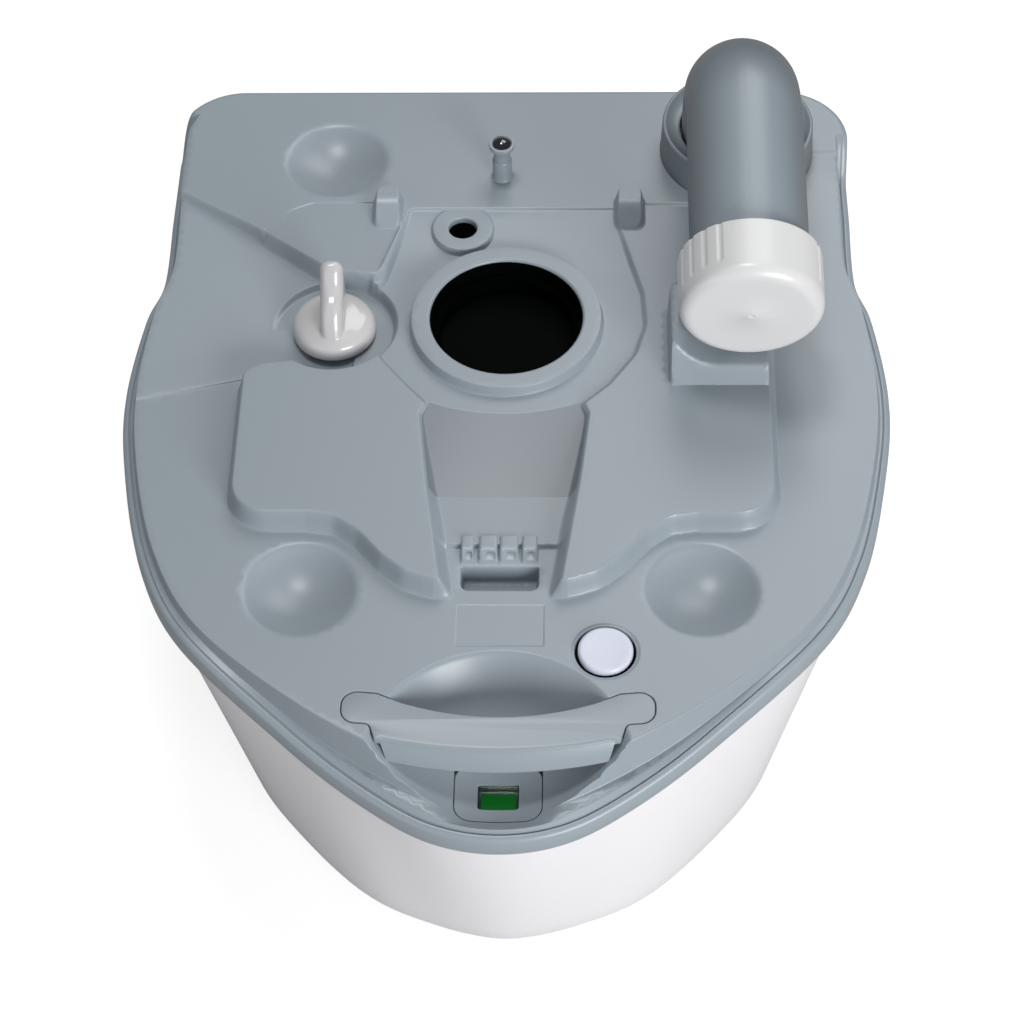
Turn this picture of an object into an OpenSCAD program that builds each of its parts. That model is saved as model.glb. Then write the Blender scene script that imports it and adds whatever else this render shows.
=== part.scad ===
// Waste-holding tank of a portable toilet, lower half.
// Millimetres, X to the right, Y to the rear, Z up, origin on the floor under the middle.

/* [Overall size] */
// Width of the deck at its widest place
tank_w = 384; // [372:2:400]
// Depth of the deck from the front lip to the rear edge
tank_d = 448; // [440:2:464]
// Height of the side and front deck above the floor
deck_h = 193; // [186:1:210]
// Radius of the two rear corners
rear_corner_r = 36; // [24:1:44]

/* [Tank shell] */
// Thickness of the moulded walls
wall = 3; // [2.4:0.1:3.4]
// How far the body draws in from deck to floor at the front
taper_front = 38; // [30:1:40]
// How far the body draws in from deck to floor at the sides
taper_side = 28; // [22:1:34]
// How far the body draws in from deck to floor at the rear
taper_rear = 22; // [14:1:30]
// Rounding where the walls meet the floor
foot_r = 7; // [4:0.5:10]

/* [Deck rim] */
// Height of the hanging skirt of the rim
skirt_h = 12; // [9:0.5:14]
// Width of the ledge between the skirt and the raised deck
ledge_w = 6.5; // [5:0.5:8]
// Height of the deck above the ledge
ledge_drop = 5; // [4:0.5:7]
// Drop of the rim from the sides to the middle of the front
front_dip = 24; // [18:1:28]
// Distance ahead of the middle where the rim starts to drop
dip_start = 125; // [110:1:135]

/* [Deck levels] */
// Height of the middle plateau above the front deck
plateau_h = 12; // [9:0.5:14]
// Height of the rear deck above the front deck
rear_h = 16; // [14:0.5:18]
// Width of the plateau
plateau_w = 260; // [250:2:266]
// Distance of the plateau's front point from the deck's front tip
plateau_setback = 115.5; // [112:0.5:124]
// Depth of the dished zone round the opening, below the plateau
zone_drop = 2; // [1:0.5:3]

/* [Main opening and valve] */
// Distance of the opening's centre behind the middle
opening_y = 57.5; // [52:0.5:62]
// Diameter of the opening
opening_d = 77.4; // [74:0.2:79]
// Width of the raised ring round the opening
ring_w = 9.8; // [8:0.2:11]
// Height of the raised ring above the dished zone
ring_h = 6; // [4:0.5:8]
// Distance between the opening's axis and the knob's axis
orbit_r = 87.5; // [86:0.5:90]
// Diameter of the valve blade
blade_d = 84; // [82:0.5:86]
// Thickness of the valve blade
blade_t = 3; // [2:0.5:4]
// Diameter of the valve shaft
shaft_d = 12; // [10:0.5:14]
// Diameter of the knob's base
knob_d = 42; // [38:0.5:46]
// Height of the knob's finger post above its seat
knob_h = 39; // [34:1:44]

/* [Pour-out spout] */
// Distance of the swivel axis from the deck's right side
spout_side = 72; // [70:0.5:74]
// Distance of the swivel axis from the deck's rear edge
spout_back = 47; // [44:0.5:50]
// Outer diameter of the tube
tube_d = 59; // [56:0.5:60]
// Wall of the tube
tube_wall = 3.2; // [2.4:0.2:4]
// Centreline radius of the bend
bend_r = 38; // [36:0.5:42]
// Downward tilt of the tube's run
spout_tilt = 8; // [6:0.5:9]
// Length of the tube's straight run
run_l = 113; // [108:1:118]
// Diameter of the collar at its foot
collar_d = 81; // [79:0.5:83]
// Height of the collar
collar_h = 20; // [18:0.5:24]
// Diameter of the screw cap
cap_d = 70.6; // [69:0.2:73]
// Length of the screw cap
cap_l = 32.6; // [30:0.2:35]

/* [Air vent] */
// Place of the vent to the right of the middle
vent_x = 49.2; // [48:0.2:52]
// Distance of the vent behind the finger well's centre
vent_back = 61.6; // [60:0.2:64]
// Diameter of the button
button_d = 25.8; // [24:0.2:26]
// Diameter of the hole that the button sits in
vent_hole_d = 28.6; // [28.2:0.2:29]
// Travel of the button
press_travel = 4; // [3:0.5:5]

/* [Carry handle and finger well] */
// Distance of the well's centre from the deck's front tip
well_setback = 23.4; // [22:0.2:26]
// Radius of the well at the deck
well_r = 61; // [58:0.5:62]
// Depth of the well
well_depth = 32; // [28:0.5:33]
// Reach of the handle's ears from the middle
ear_reach = 72; // [70:0.5:76]
// Width of the handle's ears
ear_w = 15; // [13:0.5:16]
// Width of the bar at its middle
bar_w = 18.3; // [16:0.3:20]
// Depth of the bar's hanging front edge
bar_skirt = 12; // [9:0.5:13]

/* [Level indicator] */
// Width of the insert
insert_w = 40; // [36:1:42]
// Width of the window
window_w = 19; // [16:0.5:22]
// Length of the window from front to rear
window_l = 13.5; // [11:0.5:15]
// Radius of the flag drum
flag_r = 17; // [16:0.5:17]
// Height of the lowered float above the tank's floor
float_low = 25.8; // [20:0.2:34]
// Diameter of the float
float_d = 28; // [24:1:32]

/* [Small deck features] */
// Diameter of the round dimples
dimple_d = 53; // [48:0.5:56]
// Depth of the round dimples
dimple_depth = 9.5; // [7:0.5:11]
// Diameter of the small port
port_d = 15; // [13:0.5:17]
// Height of the latch post above the rear deck
post_h = 25.5; // [22:0.5:30]
// Diameter of the latch post
post_d = 10.2; // [9:0.2:12]

/* [Hidden] */

$fn = 72;

// Clearance between pieces that are fixed or only meet
gap = 0.3;
// Radial clearance of a running fit
run_gap = 0.08;
// Overrun of every cut
over = 1;
// Steps of a spline between two of its points
steps = 4;
// Steps of a quarter round in an outline
arc_steps = 6;

half_w = tank_w / 2;
half_d = tank_d / 2;
spout_x = half_w - spout_side;
spout_y = half_d - spout_back;
well_y = half_d - well_setback;
plateau_front = half_d - plateau_setback;
vent_y = well_y - vent_back;
plateau_z = deck_h + plateau_h;
rear_z = deck_h + rear_h;
zone_z = plateau_z - zone_drop;
// Place along the half depth where the front's nose starts
nose_share = 0.8;
// Run of the small slope at the deck's edge
edge_run = 2.5;
deck_inset = ledge_w + edge_run;

// Half of the deck's outline, from the front tip to the straight side,
// as shares of the half width and the half depth
side_shares = [[0, -1], [0.156, -0.977], [0.3125, -0.906], [0.521, -0.777], [0.781, -0.576],
    [0.91, -0.366], [0.982, -0.09], [1, 0.11], [0.974, 0.33], [0.9375, 0.45], [0.9375, 0.65]];

// Smooth rise from 0 to 1
function smooth(s) = s <= 0 ? 0 : s >= 1 ? 1 : s * s * (3 - 2 * s);

// Share of the front dip at a place along the depth
function dip(y) = smooth((-dip_start - y) / (half_d - dip_start));

// One point of a Catmull-Rom curve between b and c
function curve_point(a, b, c, d, t) =
    b + t * ((c - a) / 2 + t * (a - 2.5 * b + 2 * c - d / 2 + t * (1.5 * (b - c) + (d - a) / 2)));

// Curve through a list of points, with its first point and without its last
function curve(pts, n) = [for (i = [0:len(pts) - 2]) for (j = [0:n - 1])
    curve_point(pts[max(i - 1, 0)], pts[i], pts[i + 1], pts[min(i + 2, len(pts) - 1)], j / n)];

// Arc from one angle to another, both ends included
function arc(centre, r, a0, a1, n) =
    [for (i = [0:n]) let (a = a0 + (a1 - a0) * i / n) centre + r * [cos(a), sin(a)]];

// Shares times the two sizes that they follow
function scaled(shares, sizes) = [for (s = shares) [s[0] * sizes[0], s[1] * sizes[1]]];

// Mirror image of a path in the YZ plane, in reverse order
function mirrored(path) = [for (i = [len(path) - 1:-1:0]) [-path[i][0], path[i][1]]];

// Path without its first point
function tail(path) = [for (i = [1:len(path) - 1]) path[i]];

// Outward normal at point i of a counter-clockwise path
function normal(path, i) =
    let (n = len(path), t = path[(i + 1) % n] - path[(i + n - 1) % n]) [t[1], -t[0]] / norm(t);

// Path drawn in by d
function inset(path, d) = [for (i = [0:len(path) - 1]) path[i] - d * normal(path, i)];

// Right half of the deck's outline from the front tip to the rear
deck_half = concat(
    curve(scaled(side_shares, [half_w, half_d]), steps),
    arc([side_shares[10][0] * half_w - rear_corner_r, half_d - rear_corner_r], rear_corner_r, 0, 90,
        arc_steps));
deck_path = concat(deck_half, mirrored(tail(deck_half)));

// Draw of the body at the floor, under the point of the outline at y
function taper_at(y) = taper_side + (taper_front - taper_side) * smooth((-y - nose_share * half_d)
    / ((1 - nose_share) * half_d)) - (taper_side - taper_rear) * smooth(y / half_d);

// Ring of the deck's outline, drawn in by d plus d_dip times the dip, at height z less z_dip times the dip
function deck_ring(d, d_dip, z, z_dip) = [for (i = [0:len(deck_path) - 1])
    let (s = dip(deck_path[i][1]), p = deck_path[i] - (d + d_dip * s) * normal(deck_path, i))
    [p[0], p[1], z - z_dip * s]];

// Ring of the body, drawn in by d, at height z; at the top the height follows the dip
function body_ring(d, z) = [for (i = [0:len(deck_path) - 1])
    let (top = shell_top_z - shell_top_dip * dip(deck_path[i][1]), zz = min(z, top),
        p = deck_path[i] - (d + taper_at(deck_path[i][1]) * (1 - zz / top)) * normal(deck_path, i))
    [p[0], p[1], zz]];

// Path at one height
function level_ring(path, z) = [for (p = path) [p[0], p[1], z]];

// Solid through a stack of rings with equal counts of points, bottom first and level on top.
// A bent lowest ring is closed by a fan about a middle point.
module loft(rings, bent = true) {
    n = len(rings[0]);
    m = len(rings);
    low = rings[0];
    mid = [0, 0, low[0][2] * 0.5 + low[floor(n / 2)][2] * 0.5];
    points = concat([for (r = rings) for (p = r) p], bent ? [mid] : []);
    walls = [for (k = [0:m - 2]) for (i = [0:n - 1]) let (j = (i + 1) % n)
        each [[k * n + i, (k + 1) * n + i, (k + 1) * n + j], [k * n + i, (k + 1) * n + j, k * n + j]]];
    foot = bent ? [for (i = [0:n - 1]) [i, (i + 1) % n, n * m]] : [[for (i = [0:n - 1]) i]];
    top = [[for (i = [n - 1:-1:0]) (m - 1) * n + i]];
    polyhedron(points, concat(walls, foot, top), convexity = 8);
}

// Straight prism on a path between two heights
module prism(path, z0, z1) {
    translate([0, 0, z0])
        linear_extrude(z1 - z0)
            polygon(path);
}

// Round bar or bore along Z between two heights
module rod(d, z0, z1) {
    translate([0, 0, z0])
        cylinder(d = d, h = z1 - z0);
}

// Ring along Z between two heights
module tube(d_out, d_in, z0, z1) {
    difference() {
        rod(d_out, z0, z1);
        rod(d_in, z0 - over, z1 + over);
    }
}

// Path of a rectangle with rounded corners about the origin
function round_rect(w, l, r) = concat(
    arc([w / 2 - r, -l / 2 + r], r, -90, 0, arc_steps),
    arc([w / 2 - r, l / 2 - r], r, 0, 90, arc_steps),
    arc([-w / 2 + r, l / 2 - r], r, 90, 180, arc_steps),
    arc([-w / 2 + r, -l / 2 + r], r, 180, 270, arc_steps));

// Path moved by a vector
function moved(path, v) = [for (p = path) p + v];

// Prism along X of a path given in the YZ plane
module side_prism(path, x0, x1) {
    translate([x0, 0, 0])
        rotate([90, 0, 90])
            linear_extrude(x1 - x0)
                polygon(path);
}

// Ring of round wire, lying flat
module wire_ring(r, wire_r, z) {
    translate([0, 0, z])
        rotate_extrude()
            translate([r, 0])
                circle(r = wire_r, $fn = 24);
}

// Round bar along X between two places
module cross_rod(r, x0, x1) {
    translate([x0, 0, 0])
        rotate([0, 90, 0])
            cylinder(r = r, h = x1 - x0);
}

// TANK SHELL

floor_t = 4;
body_gap = wall + gap;
shell_top_z = deck_h - ledge_drop - wall - gap;
shell_top_dip = front_dip + wall;
foot_share = 0.3;

module tank_shell() {
    outer = body_gap;
    inner = body_gap + wall;
    rings = [
        body_ring(outer + foot_r, 0),
        body_ring(outer + foot_r * foot_share, foot_r * foot_share),
        body_ring(outer, foot_r),
        body_ring(outer, deck_h),
        body_ring(inner, deck_h),
        body_ring(inner, foot_r + floor_t),
        body_ring(inner + foot_r / 2, floor_t)];
    color("#efedf0")
        loft(rings, false);
}

// DECK

side_rise_front = 15;
side_rise_rear = 150;
well_ball_r = (well_r * well_r + well_depth * well_depth) / (2 * well_depth);
well_lip = 5;
dimple_r = (dimple_d * dimple_d / 4 + dimple_depth * dimple_depth) / (2 * dimple_depth);
dimple_side = 97;
dimple_ahead = 5.5;
rear_dimple_side = 100.3;
rear_dimple_back = 54.2;
dimple_rear = [rear_dimple_side - half_w, half_d - rear_dimple_back];
dimple_front = [half_w - dimple_side, dimple_ahead - plateau_front];
knob_x = -orbit_r;
knob_seat_r = 33;
seat_share = 0.3;
knob_seat_z = deck_h + plateau_h * seat_share;
zone_y = 75;
zone_r = 77;
ramp_lip = 30.5;
ramp_flat = 28.6;
ramp_front = plateau_front - ramp_lip;
ramp_crease = ramp_front - ramp_flat;
ramp_drop = 9.5;

// Outline of the plateau's right half, front point first, as shares of half its width and its front reach
s_wall_shares = [[0.23, -1], [0.346, -0.926], [0.431, -0.834], [0.519, -0.705], [0.612, -0.627],
    [0.704, -0.598], [0.84, -0.596]];
// Rear edges of the plateau, as shares of half the tank's width and depth
plateau_rear_shares = [[0.68, 0.618], [-0.332, 0.618], [-0.332, 0.137], [-0.354, 0.15],
    [-0.4, 0.138], [-0.45, 0.127], [-0.5, 0.132], [-0.536, 0.142], [-0.646, 0.123], [-0.677, 0.098]];
// Edge of the rear deck from left to right, as shares of half the tank's width and depth
rear_edge_shares = [[-1.1, 0.75], [-0.99, 0.705], [-0.896, 0.658], [-0.666, 0.529], [-0.5, 0.422],
    [-0.333, 0.395], [-0.272, 0.6], [0.284, 0.6], [0.292, 0.618], [1.1, 0.618], [1.1, 1.1], [-1.1, 1.1]];
// Sides of the dished zone, as shares of half the tank's width and depth
zone_shares = [[-0.272, 0.6], [-0.33, 0.395], [-0.345, -0.1], [0.367, -0.1], [0.367, 0.335],
    [0.315, 0.513], [0.284, 0.6]];
// Ramp recess ahead of the opening, as shares of half the tank's width and depth
ramp_plan_shares = [[-0.155, -0.5], [0.155, -0.5], [0.221, 0.027], [-0.221, 0.027]];

s_wall = scaled(s_wall_shares, [plateau_w / 2, plateau_front]);
corner_share = 0.08;
plateau_corner_r = plateau_w * corner_share;
plateau_right = concat(curve(s_wall, 2),
    arc([plateau_w / 2 - plateau_corner_r, s_wall[6][1] + plateau_corner_r], plateau_corner_r, -90, 0,
        arc_steps));
plateau_path = concat(plateau_right, scaled(plateau_rear_shares, [half_w, half_d]),
    mirrored(plateau_right));

nub_w = 13;
nub_x = 63;
nub_l = 20.5;
nub_slope_l = 9.5;
nub_ahead = 12.9;
// Front edge of the rear deck behind the opening, as a share of half the tank's depth
rear_step_share = 0.6;
rear_step_y = rear_step_share * half_d;
nub_front = rear_step_y - nub_ahead;
nub_top_front = nub_front + nub_slope_l;
nub_rear = nub_front + nub_l;
nub_h = 8;

cradle_w = 49.5;
cradle_l = 49.9;
cradle_side = 10.5;
cradle_ahead = 162.4;
cradle_right = spout_x + cradle_side;
cradle_left = cradle_right - cradle_w;
cradle_front = spout_y - cradle_ahead;
cradle_rear = cradle_front + cradle_l;
cradle_h = 13;
saddle_gap = 8.7;

pocket_w = 37.8;
pocket_l = 15.3;
pocket_behind = 11.5;
pocket_y = pocket_behind - plateau_front;
pocket_r = 4;
pocket_depth = 10;
label_w = 42;
label_l = 24.6;
label_ahead = 27.3;
label_y = pocket_y - label_ahead;
label_depth = 0.3;
tooth_count = 4;
tooth_w = 7.4;
tooth_pitch = 9.4;
tooth_l = 12.5;
tooth_behind = 7;
tooth_front = pocket_y + tooth_behind;
tooth_rear = tooth_front + tooth_l;
tooth_h = 3;

neck_r = opening_d / 2 + ring_w;
boss_floor_z = deck_h + wall;
screw_flange_r = 53;
screw_orbit = 49.2;
screw_count = 6;
screw_shank_r = 1.8;
screw_head_r = 3.2;
screw_head_h = 2.2;
screw_grip = 5.4;

shaft_boss_r = 9.6;
shaft_boss_rise = 9.7;
shaft_boss_top = knob_seat_z + shaft_boss_rise;
shaft_boss_foot = deck_h - wall + 2 * run_gap;
seal_wire_r = 0.95;
seal_seat_r = shaft_d / 2 + run_gap + 2 * seal_wire_r + 2 * run_gap;
seal_seat_depth = 3;

port_x = -23.7;
port_ahead = 14.4;
port_y = rear_step_y - port_ahead;
port_disc_r = 15;
port_disc_h = 1;
latch_x = -3.7;
latch_back = 66.2;
latch_y = half_d - latch_back;
latch_spigot_r = 3.9;
latch_spigot_h = 6;
latch_boss_r = 7;

spout_boss_h = 4;
collar_skin = 1.6;
collar_fit = 0.4;
spout_boss_r = collar_d / 2 - collar_skin - collar_fit;
spout_bore_r = tube_d / 2 - tube_wall;
ring_groove_r = 32;
ring_wire_r = 0.9;
ring_groove_depth = 1.9;

vent_boss_r = 17.2;
vent_boss_l = 5.7;
vent_boss_foot = deck_h - vent_boss_l;
vent_recess_r = 16.3;
vent_recess_depth = 0.6;

ear_t = 4;
panel_depth_l = 28;
panel_behind = 2.2;
panel_y = -well_y + panel_behind;
panel_front_r = 7;
panel_path = moved(round_rect(insert_w, panel_depth_l, panel_front_r), [0, panel_y]);

bar_behind = 6.6;
bar_front_y = -well_y + bar_behind;
bar_front_r = 232;
bar_rear_r = 130;
bar_half = 56;
bar_rear_half = 49;
ear_behind = 30.2;
ear_y = -well_y + ear_behind;

// Right half of the handle's outline, from the middle of the front edge to the middle of the rear edge
handle_half = concat(
    [for (i = [0:arc_steps]) let (x = bar_half * i / arc_steps) [x, bar_front_y + x * x / (2 * bar_front_r)]],
    [[bar_half + wall, ear_y - ear_w / 2]],
    arc([ear_reach - ear_w / 2, ear_y], ear_w / 2, -90, 90, 2 * arc_steps),
    [for (i = [arc_steps:-1:0]) let (x = bar_rear_half * i / arc_steps)
        [x, bar_front_y + bar_w + x * x / (2 * bar_rear_r)]]);
handle_path = concat(handle_half, mirrored([for (i = [1:len(handle_half) - 2]) handle_half[i]]));

bend_rise = 1.8;
bend_z = rear_z + collar_h + bend_rise;
bend_turn = 90 + spout_tilt;
bend_end = [spout_x, spout_y - bend_r + bend_r * cos(bend_turn), bend_z + bend_r * sin(bend_turn)];

module at_opening() {
    translate([0, opening_y, 0])
        children();
}

module at_knob() {
    translate([knob_x, opening_y, 0])
        children();
}

module at_port() {
    translate([port_x, port_y, 0])
        children();
}

module at_latch() {
    translate([latch_x, latch_y, 0])
        children();
}

module at_spout() {
    translate([spout_x, spout_y, 0])
        children();
}

// Places children at the end of the bend, with Z along the tube's run
module at_run() {
    translate(bend_end)
        rotate([bend_turn, 0, 0])
            children();
}

module at_vent() {
    translate([vent_x, -vent_y, 0])
        children();
}

module at_screws() {
    at_opening()
        for (i = [0:screw_count - 1])
            rotate([0, 0, 360 * (i + 0.5) / screw_count])
                translate([screw_orbit, 0, 0])
                    children();
}

// Solid under the rim, the ledge and the lowest deck; t draws the surface inwards
module rim_block(t) {
    ledge_z = deck_h - ledge_drop;
    bead = wall;
    bead_share = 0.3;
    skirt = t == 0 ? deck_ring(0, 0, ledge_z - skirt_h, front_dip)
        : deck_ring(t, 0, ledge_z - skirt_h - over, front_dip);
    loft([
        skirt,
        deck_ring(t, 0, ledge_z - bead, front_dip),
        deck_ring(t + bead * bead_share, 0, ledge_z - bead * bead_share - t * (1 - bead_share), front_dip),
        deck_ring(t + bead, 0, ledge_z - t, front_dip),
        deck_ring(t + ledge_w, 0, ledge_z - t, front_dip - wall),
        deck_ring(t + deck_inset, well_depth, deck_h - t, 0)]);
}

// Levels above the front deck, cut to the deck's outline
module upper_levels(t) {
    base = deck_h - wall - over - t;
    intersection() {
        prism(inset(deck_path, deck_inset + t), base, rear_z + over);
        union() {
            side_prism([[side_rise_front, base], [half_d, base], [half_d, plateau_z - t],
                [side_rise_rear, plateau_z - t], [side_rise_front, deck_h - t]], -half_w, half_w);
            prism(inset(scaled(rear_edge_shares, [half_w, half_d]), t), base, rear_z - t);
        }
    }
}

// Plateau
module plateau(t) {
    base = deck_h - wall - over - t;
    prism(inset(plateau_path, t), base, plateau_z - t);
}

// Pair of raised nubs behind the opening
module nubs(t) {
    top = rear_z + nub_h - t;
    for (s = [-1, 1])
        side_prism([[nub_front + t, plateau_z - t], [nub_rear - t, plateau_z - t], [nub_rear - t, top],
            [nub_top_front + t / 2, top], [nub_front + t, rear_z - t]],
            s * nub_x - nub_w / 2 + t, s * nub_x + nub_w / 2 - t);
}

// Block with a hollow under the spout's cap
module cradle(t) {
    difference() {
        translate([cradle_left + t, cradle_front + t, plateau_z - wall - t])
            cube([cradle_right - cradle_left - 2 * t, cradle_rear - cradle_front - 2 * t,
                cradle_h + wall]);
        at_run()
            cylinder(r = cap_d / 2 + saddle_gap + t, h = 2 * run_l);
    }
}

// Ball that the finger well follows
module well_ball(grow) {
    translate([0, -well_y, deck_h - well_depth + well_ball_r])
        sphere(r = well_ball_r + grow, $fn = 96);
}

// Well scooped into the front of the deck
module well(t) {
    intersection() {
        well_ball(t);
        prism(inset(deck_path, well_lip - t), deck_h - well_depth - 2 * wall, deck_h + 2 * well_r);
    }
}

// Round dimple in a level at height z
module dimple(place, z, t) {
    translate([place[0], place[1], z - dimple_depth + dimple_r])
        sphere(r = dimple_r + t);
}

// Ramp recess ahead of the opening
module front_ramp(t) {
    floor_z = plateau_z - ramp_drop - t;
    front = -plateau_front - wall;
    intersection() {
        prism(inset(scaled(ramp_plan_shares, [half_w, half_d]), -t), deck_h - 2 * wall, plateau_z + over);
        side_prism([[front, deck_h - t], [-ramp_front - t, deck_h - t], [-ramp_front - t, floor_z],
            [-ramp_crease - t, floor_z], [t, plateau_z - t], [t, plateau_z + over],
            [front, plateau_z + over]], -half_w, half_w);
    }
}

// Dished zone round the opening
module dished_zone(t) {
    intersection() {
        translate([0, zone_y, 0])
            rod(2 * (zone_r + t), zone_z - t, rear_z + over);
        prism(inset(scaled(zone_shares, [half_w, half_d]), -t), zone_z - t, rear_z + over);
    }
}

// Everything under one skin of the deck: t = 0 for the outer skin, t = wall for the inner one
module deck_form(t) {
    difference() {
        union() {
            rim_block(t);
            upper_levels(t);
            plateau(t);
        }
        dished_zone(t);
        front_ramp(t);
        at_knob()
            rod(2 * (knob_seat_r + t), knob_seat_z - t, rear_z + over);
        dimple(dimple_rear, rear_z, t);
        dimple(dimple_front, deck_h, t);
        dimple([-dimple_front[0], dimple_front[1]], deck_h, t);
        well(t);
        prism(moved(round_rect(pocket_w + 2 * t, pocket_l + 2 * t, pocket_r), [0, pocket_y]),
            deck_h - pocket_depth - t, plateau_z);
        prism(inset(handle_path, -gap - t), deck_h - ear_t - run_gap - t, plateau_z);
    }
    nubs(t);
    cradle(t);
}

// Row of small teeth behind the latch pocket
module comb() {
    for (i = [0:tooth_count - 1])
        side_prism([[tooth_front, deck_h - wall], [tooth_rear, deck_h - wall],
            [tooth_rear, deck_h + tooth_h], [tooth_front + tooth_l / 2, deck_h + tooth_h],
            [tooth_front, deck_h + tooth_h / 4]],
            (i - (tooth_count - 1) / 2) * tooth_pitch - tooth_w / 2,
            (i - (tooth_count - 1) / 2) * tooth_pitch + tooth_w / 2);
}

// Necks and bosses on the deck
module deck_bosses() {
    at_opening() {
        rod(2 * neck_r, boss_floor_z, zone_z + ring_h);
        rod(2 * screw_flange_r, boss_floor_z, zone_z - over);
    }
    at_knob()
        rod(2 * shaft_boss_r, shaft_boss_foot, shaft_boss_top);
    at_port()
        rod(2 * port_disc_r, boss_floor_z, zone_z + wall);
    at_latch()
        rod(2 * latch_boss_r, rear_z - latch_spigot_h - over, rear_z - over);
    at_spout()
        rod(2 * spout_boss_r, rear_z - wall, rear_z + spout_boss_h);
    at_vent()
        rod(2 * vent_boss_r, vent_boss_foot, deck_h - over);
}

// Bores and shallow recesses in the deck
module deck_cuts() {
    at_opening()
        rod(opening_d, 0, rear_z + opening_d);
    at_screws()
        rod(2 * (screw_shank_r + gap / 2), 0, boss_floor_z + screw_grip);
    at_knob() {
        rod(shaft_d + 2 * run_gap, 0, shaft_boss_top + over);
        rod(2 * seal_seat_r, shaft_boss_top - seal_seat_depth, shaft_boss_top + over);
    }
    at_port()
        rod(port_d, 0, rear_z + port_d);
    at_latch()
        rod(2 * (latch_spigot_r + gap / 2), rear_z - latch_spigot_h, rear_z + over);
    at_spout() {
        rod(2 * spout_bore_r, 0, rear_z + collar_d);
        tube(2 * (ring_groove_r + ring_wire_r + gap), 2 * (ring_groove_r - ring_wire_r - gap),
            rear_z + spout_boss_h - ring_groove_depth, rear_z + spout_boss_h + over);
    }
    at_vent() {
        rod(vent_hole_d, 0, deck_h + over);
        rod(2 * vent_recess_r, deck_h - vent_recess_depth, deck_h + over);
    }
    prism(moved(round_rect(label_w, label_l, over), [0, label_y]), deck_h - label_depth, deck_h + over);
    prism(inset(panel_path, -gap), deck_h - well_depth - 2 * wall, deck_h - well_depth + 2 * wall);
}

module deck() {
    color("#9aa2a9")
        difference() {
            union() {
                difference() {
                    deck_form(0);
                    deck_form(wall);
                }
                comb();
                deck_bosses();
            }
            deck_cuts();
        }
}

// VALVE

blade_top_z = deck_h - wall;
blade_z = blade_top_z - blade_t;
housing_z = blade_top_z + 2 * gap;
housing_top_z = boss_floor_z - gap / 2;
seal_reach = 4.5;
seal_lip_t = 1.5;
seal_step_h = 2.9;
seal_in_r = opening_d / 2 - seal_reach;
seal_step_z = housing_z + seal_step_h;
seal_top_z = zone_z - wall;
guide_wall = 3;
guide_lip = 6;
guide_drop = 4;
guide_turn = 150;
guide_r = blade_d / 2 + 2 * gap;
guide_z = blade_z - guide_drop;
lip_in_r = blade_d / 2 - guide_lip;

module lip_seal() {
    color("#151618")
        at_opening() {
            tube(opening_d - 2 * gap, 2 * seal_in_r, seal_step_z + gap, seal_top_z);
            tube(2 * (seal_in_r + seal_lip_t), 2 * seal_in_r, blade_top_z + gap / 2, seal_step_z + 2 * gap);
        }
}

module valve_housing() {
    color("#101113")
        difference() {
            at_opening() {
                tube(2 * screw_flange_r, opening_d, housing_z, housing_top_z);
                tube(opening_d + over, 2 * (seal_in_r + seal_lip_t + gap), housing_z, seal_step_z);
                rotate([0, 0, -guide_turn])
                    rotate_extrude(angle = guide_turn)
                        polygon([[lip_in_r, guide_z], [guide_r + guide_wall, guide_z],
                            [guide_r + guide_wall, housing_z + over], [guide_r, housing_z + over],
                            [guide_r, blade_z - gap], [lip_in_r, blade_z - gap]]);
            }
            at_screws() {
                rod(2 * (screw_shank_r + gap / 2), guide_z - over, boss_floor_z);
                rod(2 * (screw_head_r + gap / 2), guide_z - over, housing_z + screw_head_h + gap / 2);
            }
            at_knob()
                rod(2 * (knob_seat_r + wall + gap), knob_seat_z - wall - gap, boss_floor_z);
        }
}

module housing_screws() {
    color("#b9bcc0")
        at_screws() {
            rod(2 * screw_head_r, housing_z + gap / 2, housing_z + screw_head_h);
            rod(2 * screw_shank_r, housing_z + screw_head_h, boss_floor_z + screw_grip - gap);
        }
}

arm_w = 20;
hub_r = 11;
square_w = 8.4;
square_gap = 0.1;

module valve_blade() {
    color("#1b1c1f")
        difference() {
            union() {
                at_opening()
                    rod(blade_d, blade_z, blade_top_z);
                at_knob()
                    rod(2 * hub_r, blade_z, blade_top_z);
                translate([knob_x, opening_y - arm_w / 2, blade_z])
                    cube([orbit_r - blade_d / 3, arm_w, blade_t]);
            }
            at_knob()
                translate([-square_w / 2 - square_gap, -square_w / 2 - square_gap, blade_z - over])
                    cube([square_w + 2 * square_gap, square_w + 2 * square_gap, blade_t + 2 * over]);
        }
}

shaft_foot_r = 4;
shaft_foot_l = 4.5;
clip_groove_r = 3.2;
clip_t = 1.3;
clip_out_r = 7.5;
drive_h = 10;
drive_w = 8;
drive_z = shaft_boss_top + gap;

module valve_shaft() {
    groove_top = blade_z - run_gap;
    color("#2a2b2e")
        at_knob() {
            rod(shaft_d, blade_top_z + run_gap, drive_z);
            translate([-square_w / 2, -square_w / 2, groove_top])
                cube([square_w, square_w, blade_top_z + 2 * run_gap - groove_top]);
            rod(2 * clip_groove_r, groove_top - clip_t - 2 * run_gap, groove_top + run_gap);
            rod(2 * shaft_foot_r, blade_z - shaft_foot_l, groove_top - clip_t - run_gap);
            translate([-drive_w / 2, -drive_w / 2, drive_z - run_gap])
                cube([drive_w, drive_w, drive_h]);
        }
}

module shaft_seal() {
    color("#18191b")
        at_knob()
            wire_ring(shaft_d / 2 + run_gap + seal_wire_r, seal_wire_r,
                shaft_boss_top - seal_seat_depth + seal_wire_r + run_gap);
}

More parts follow.
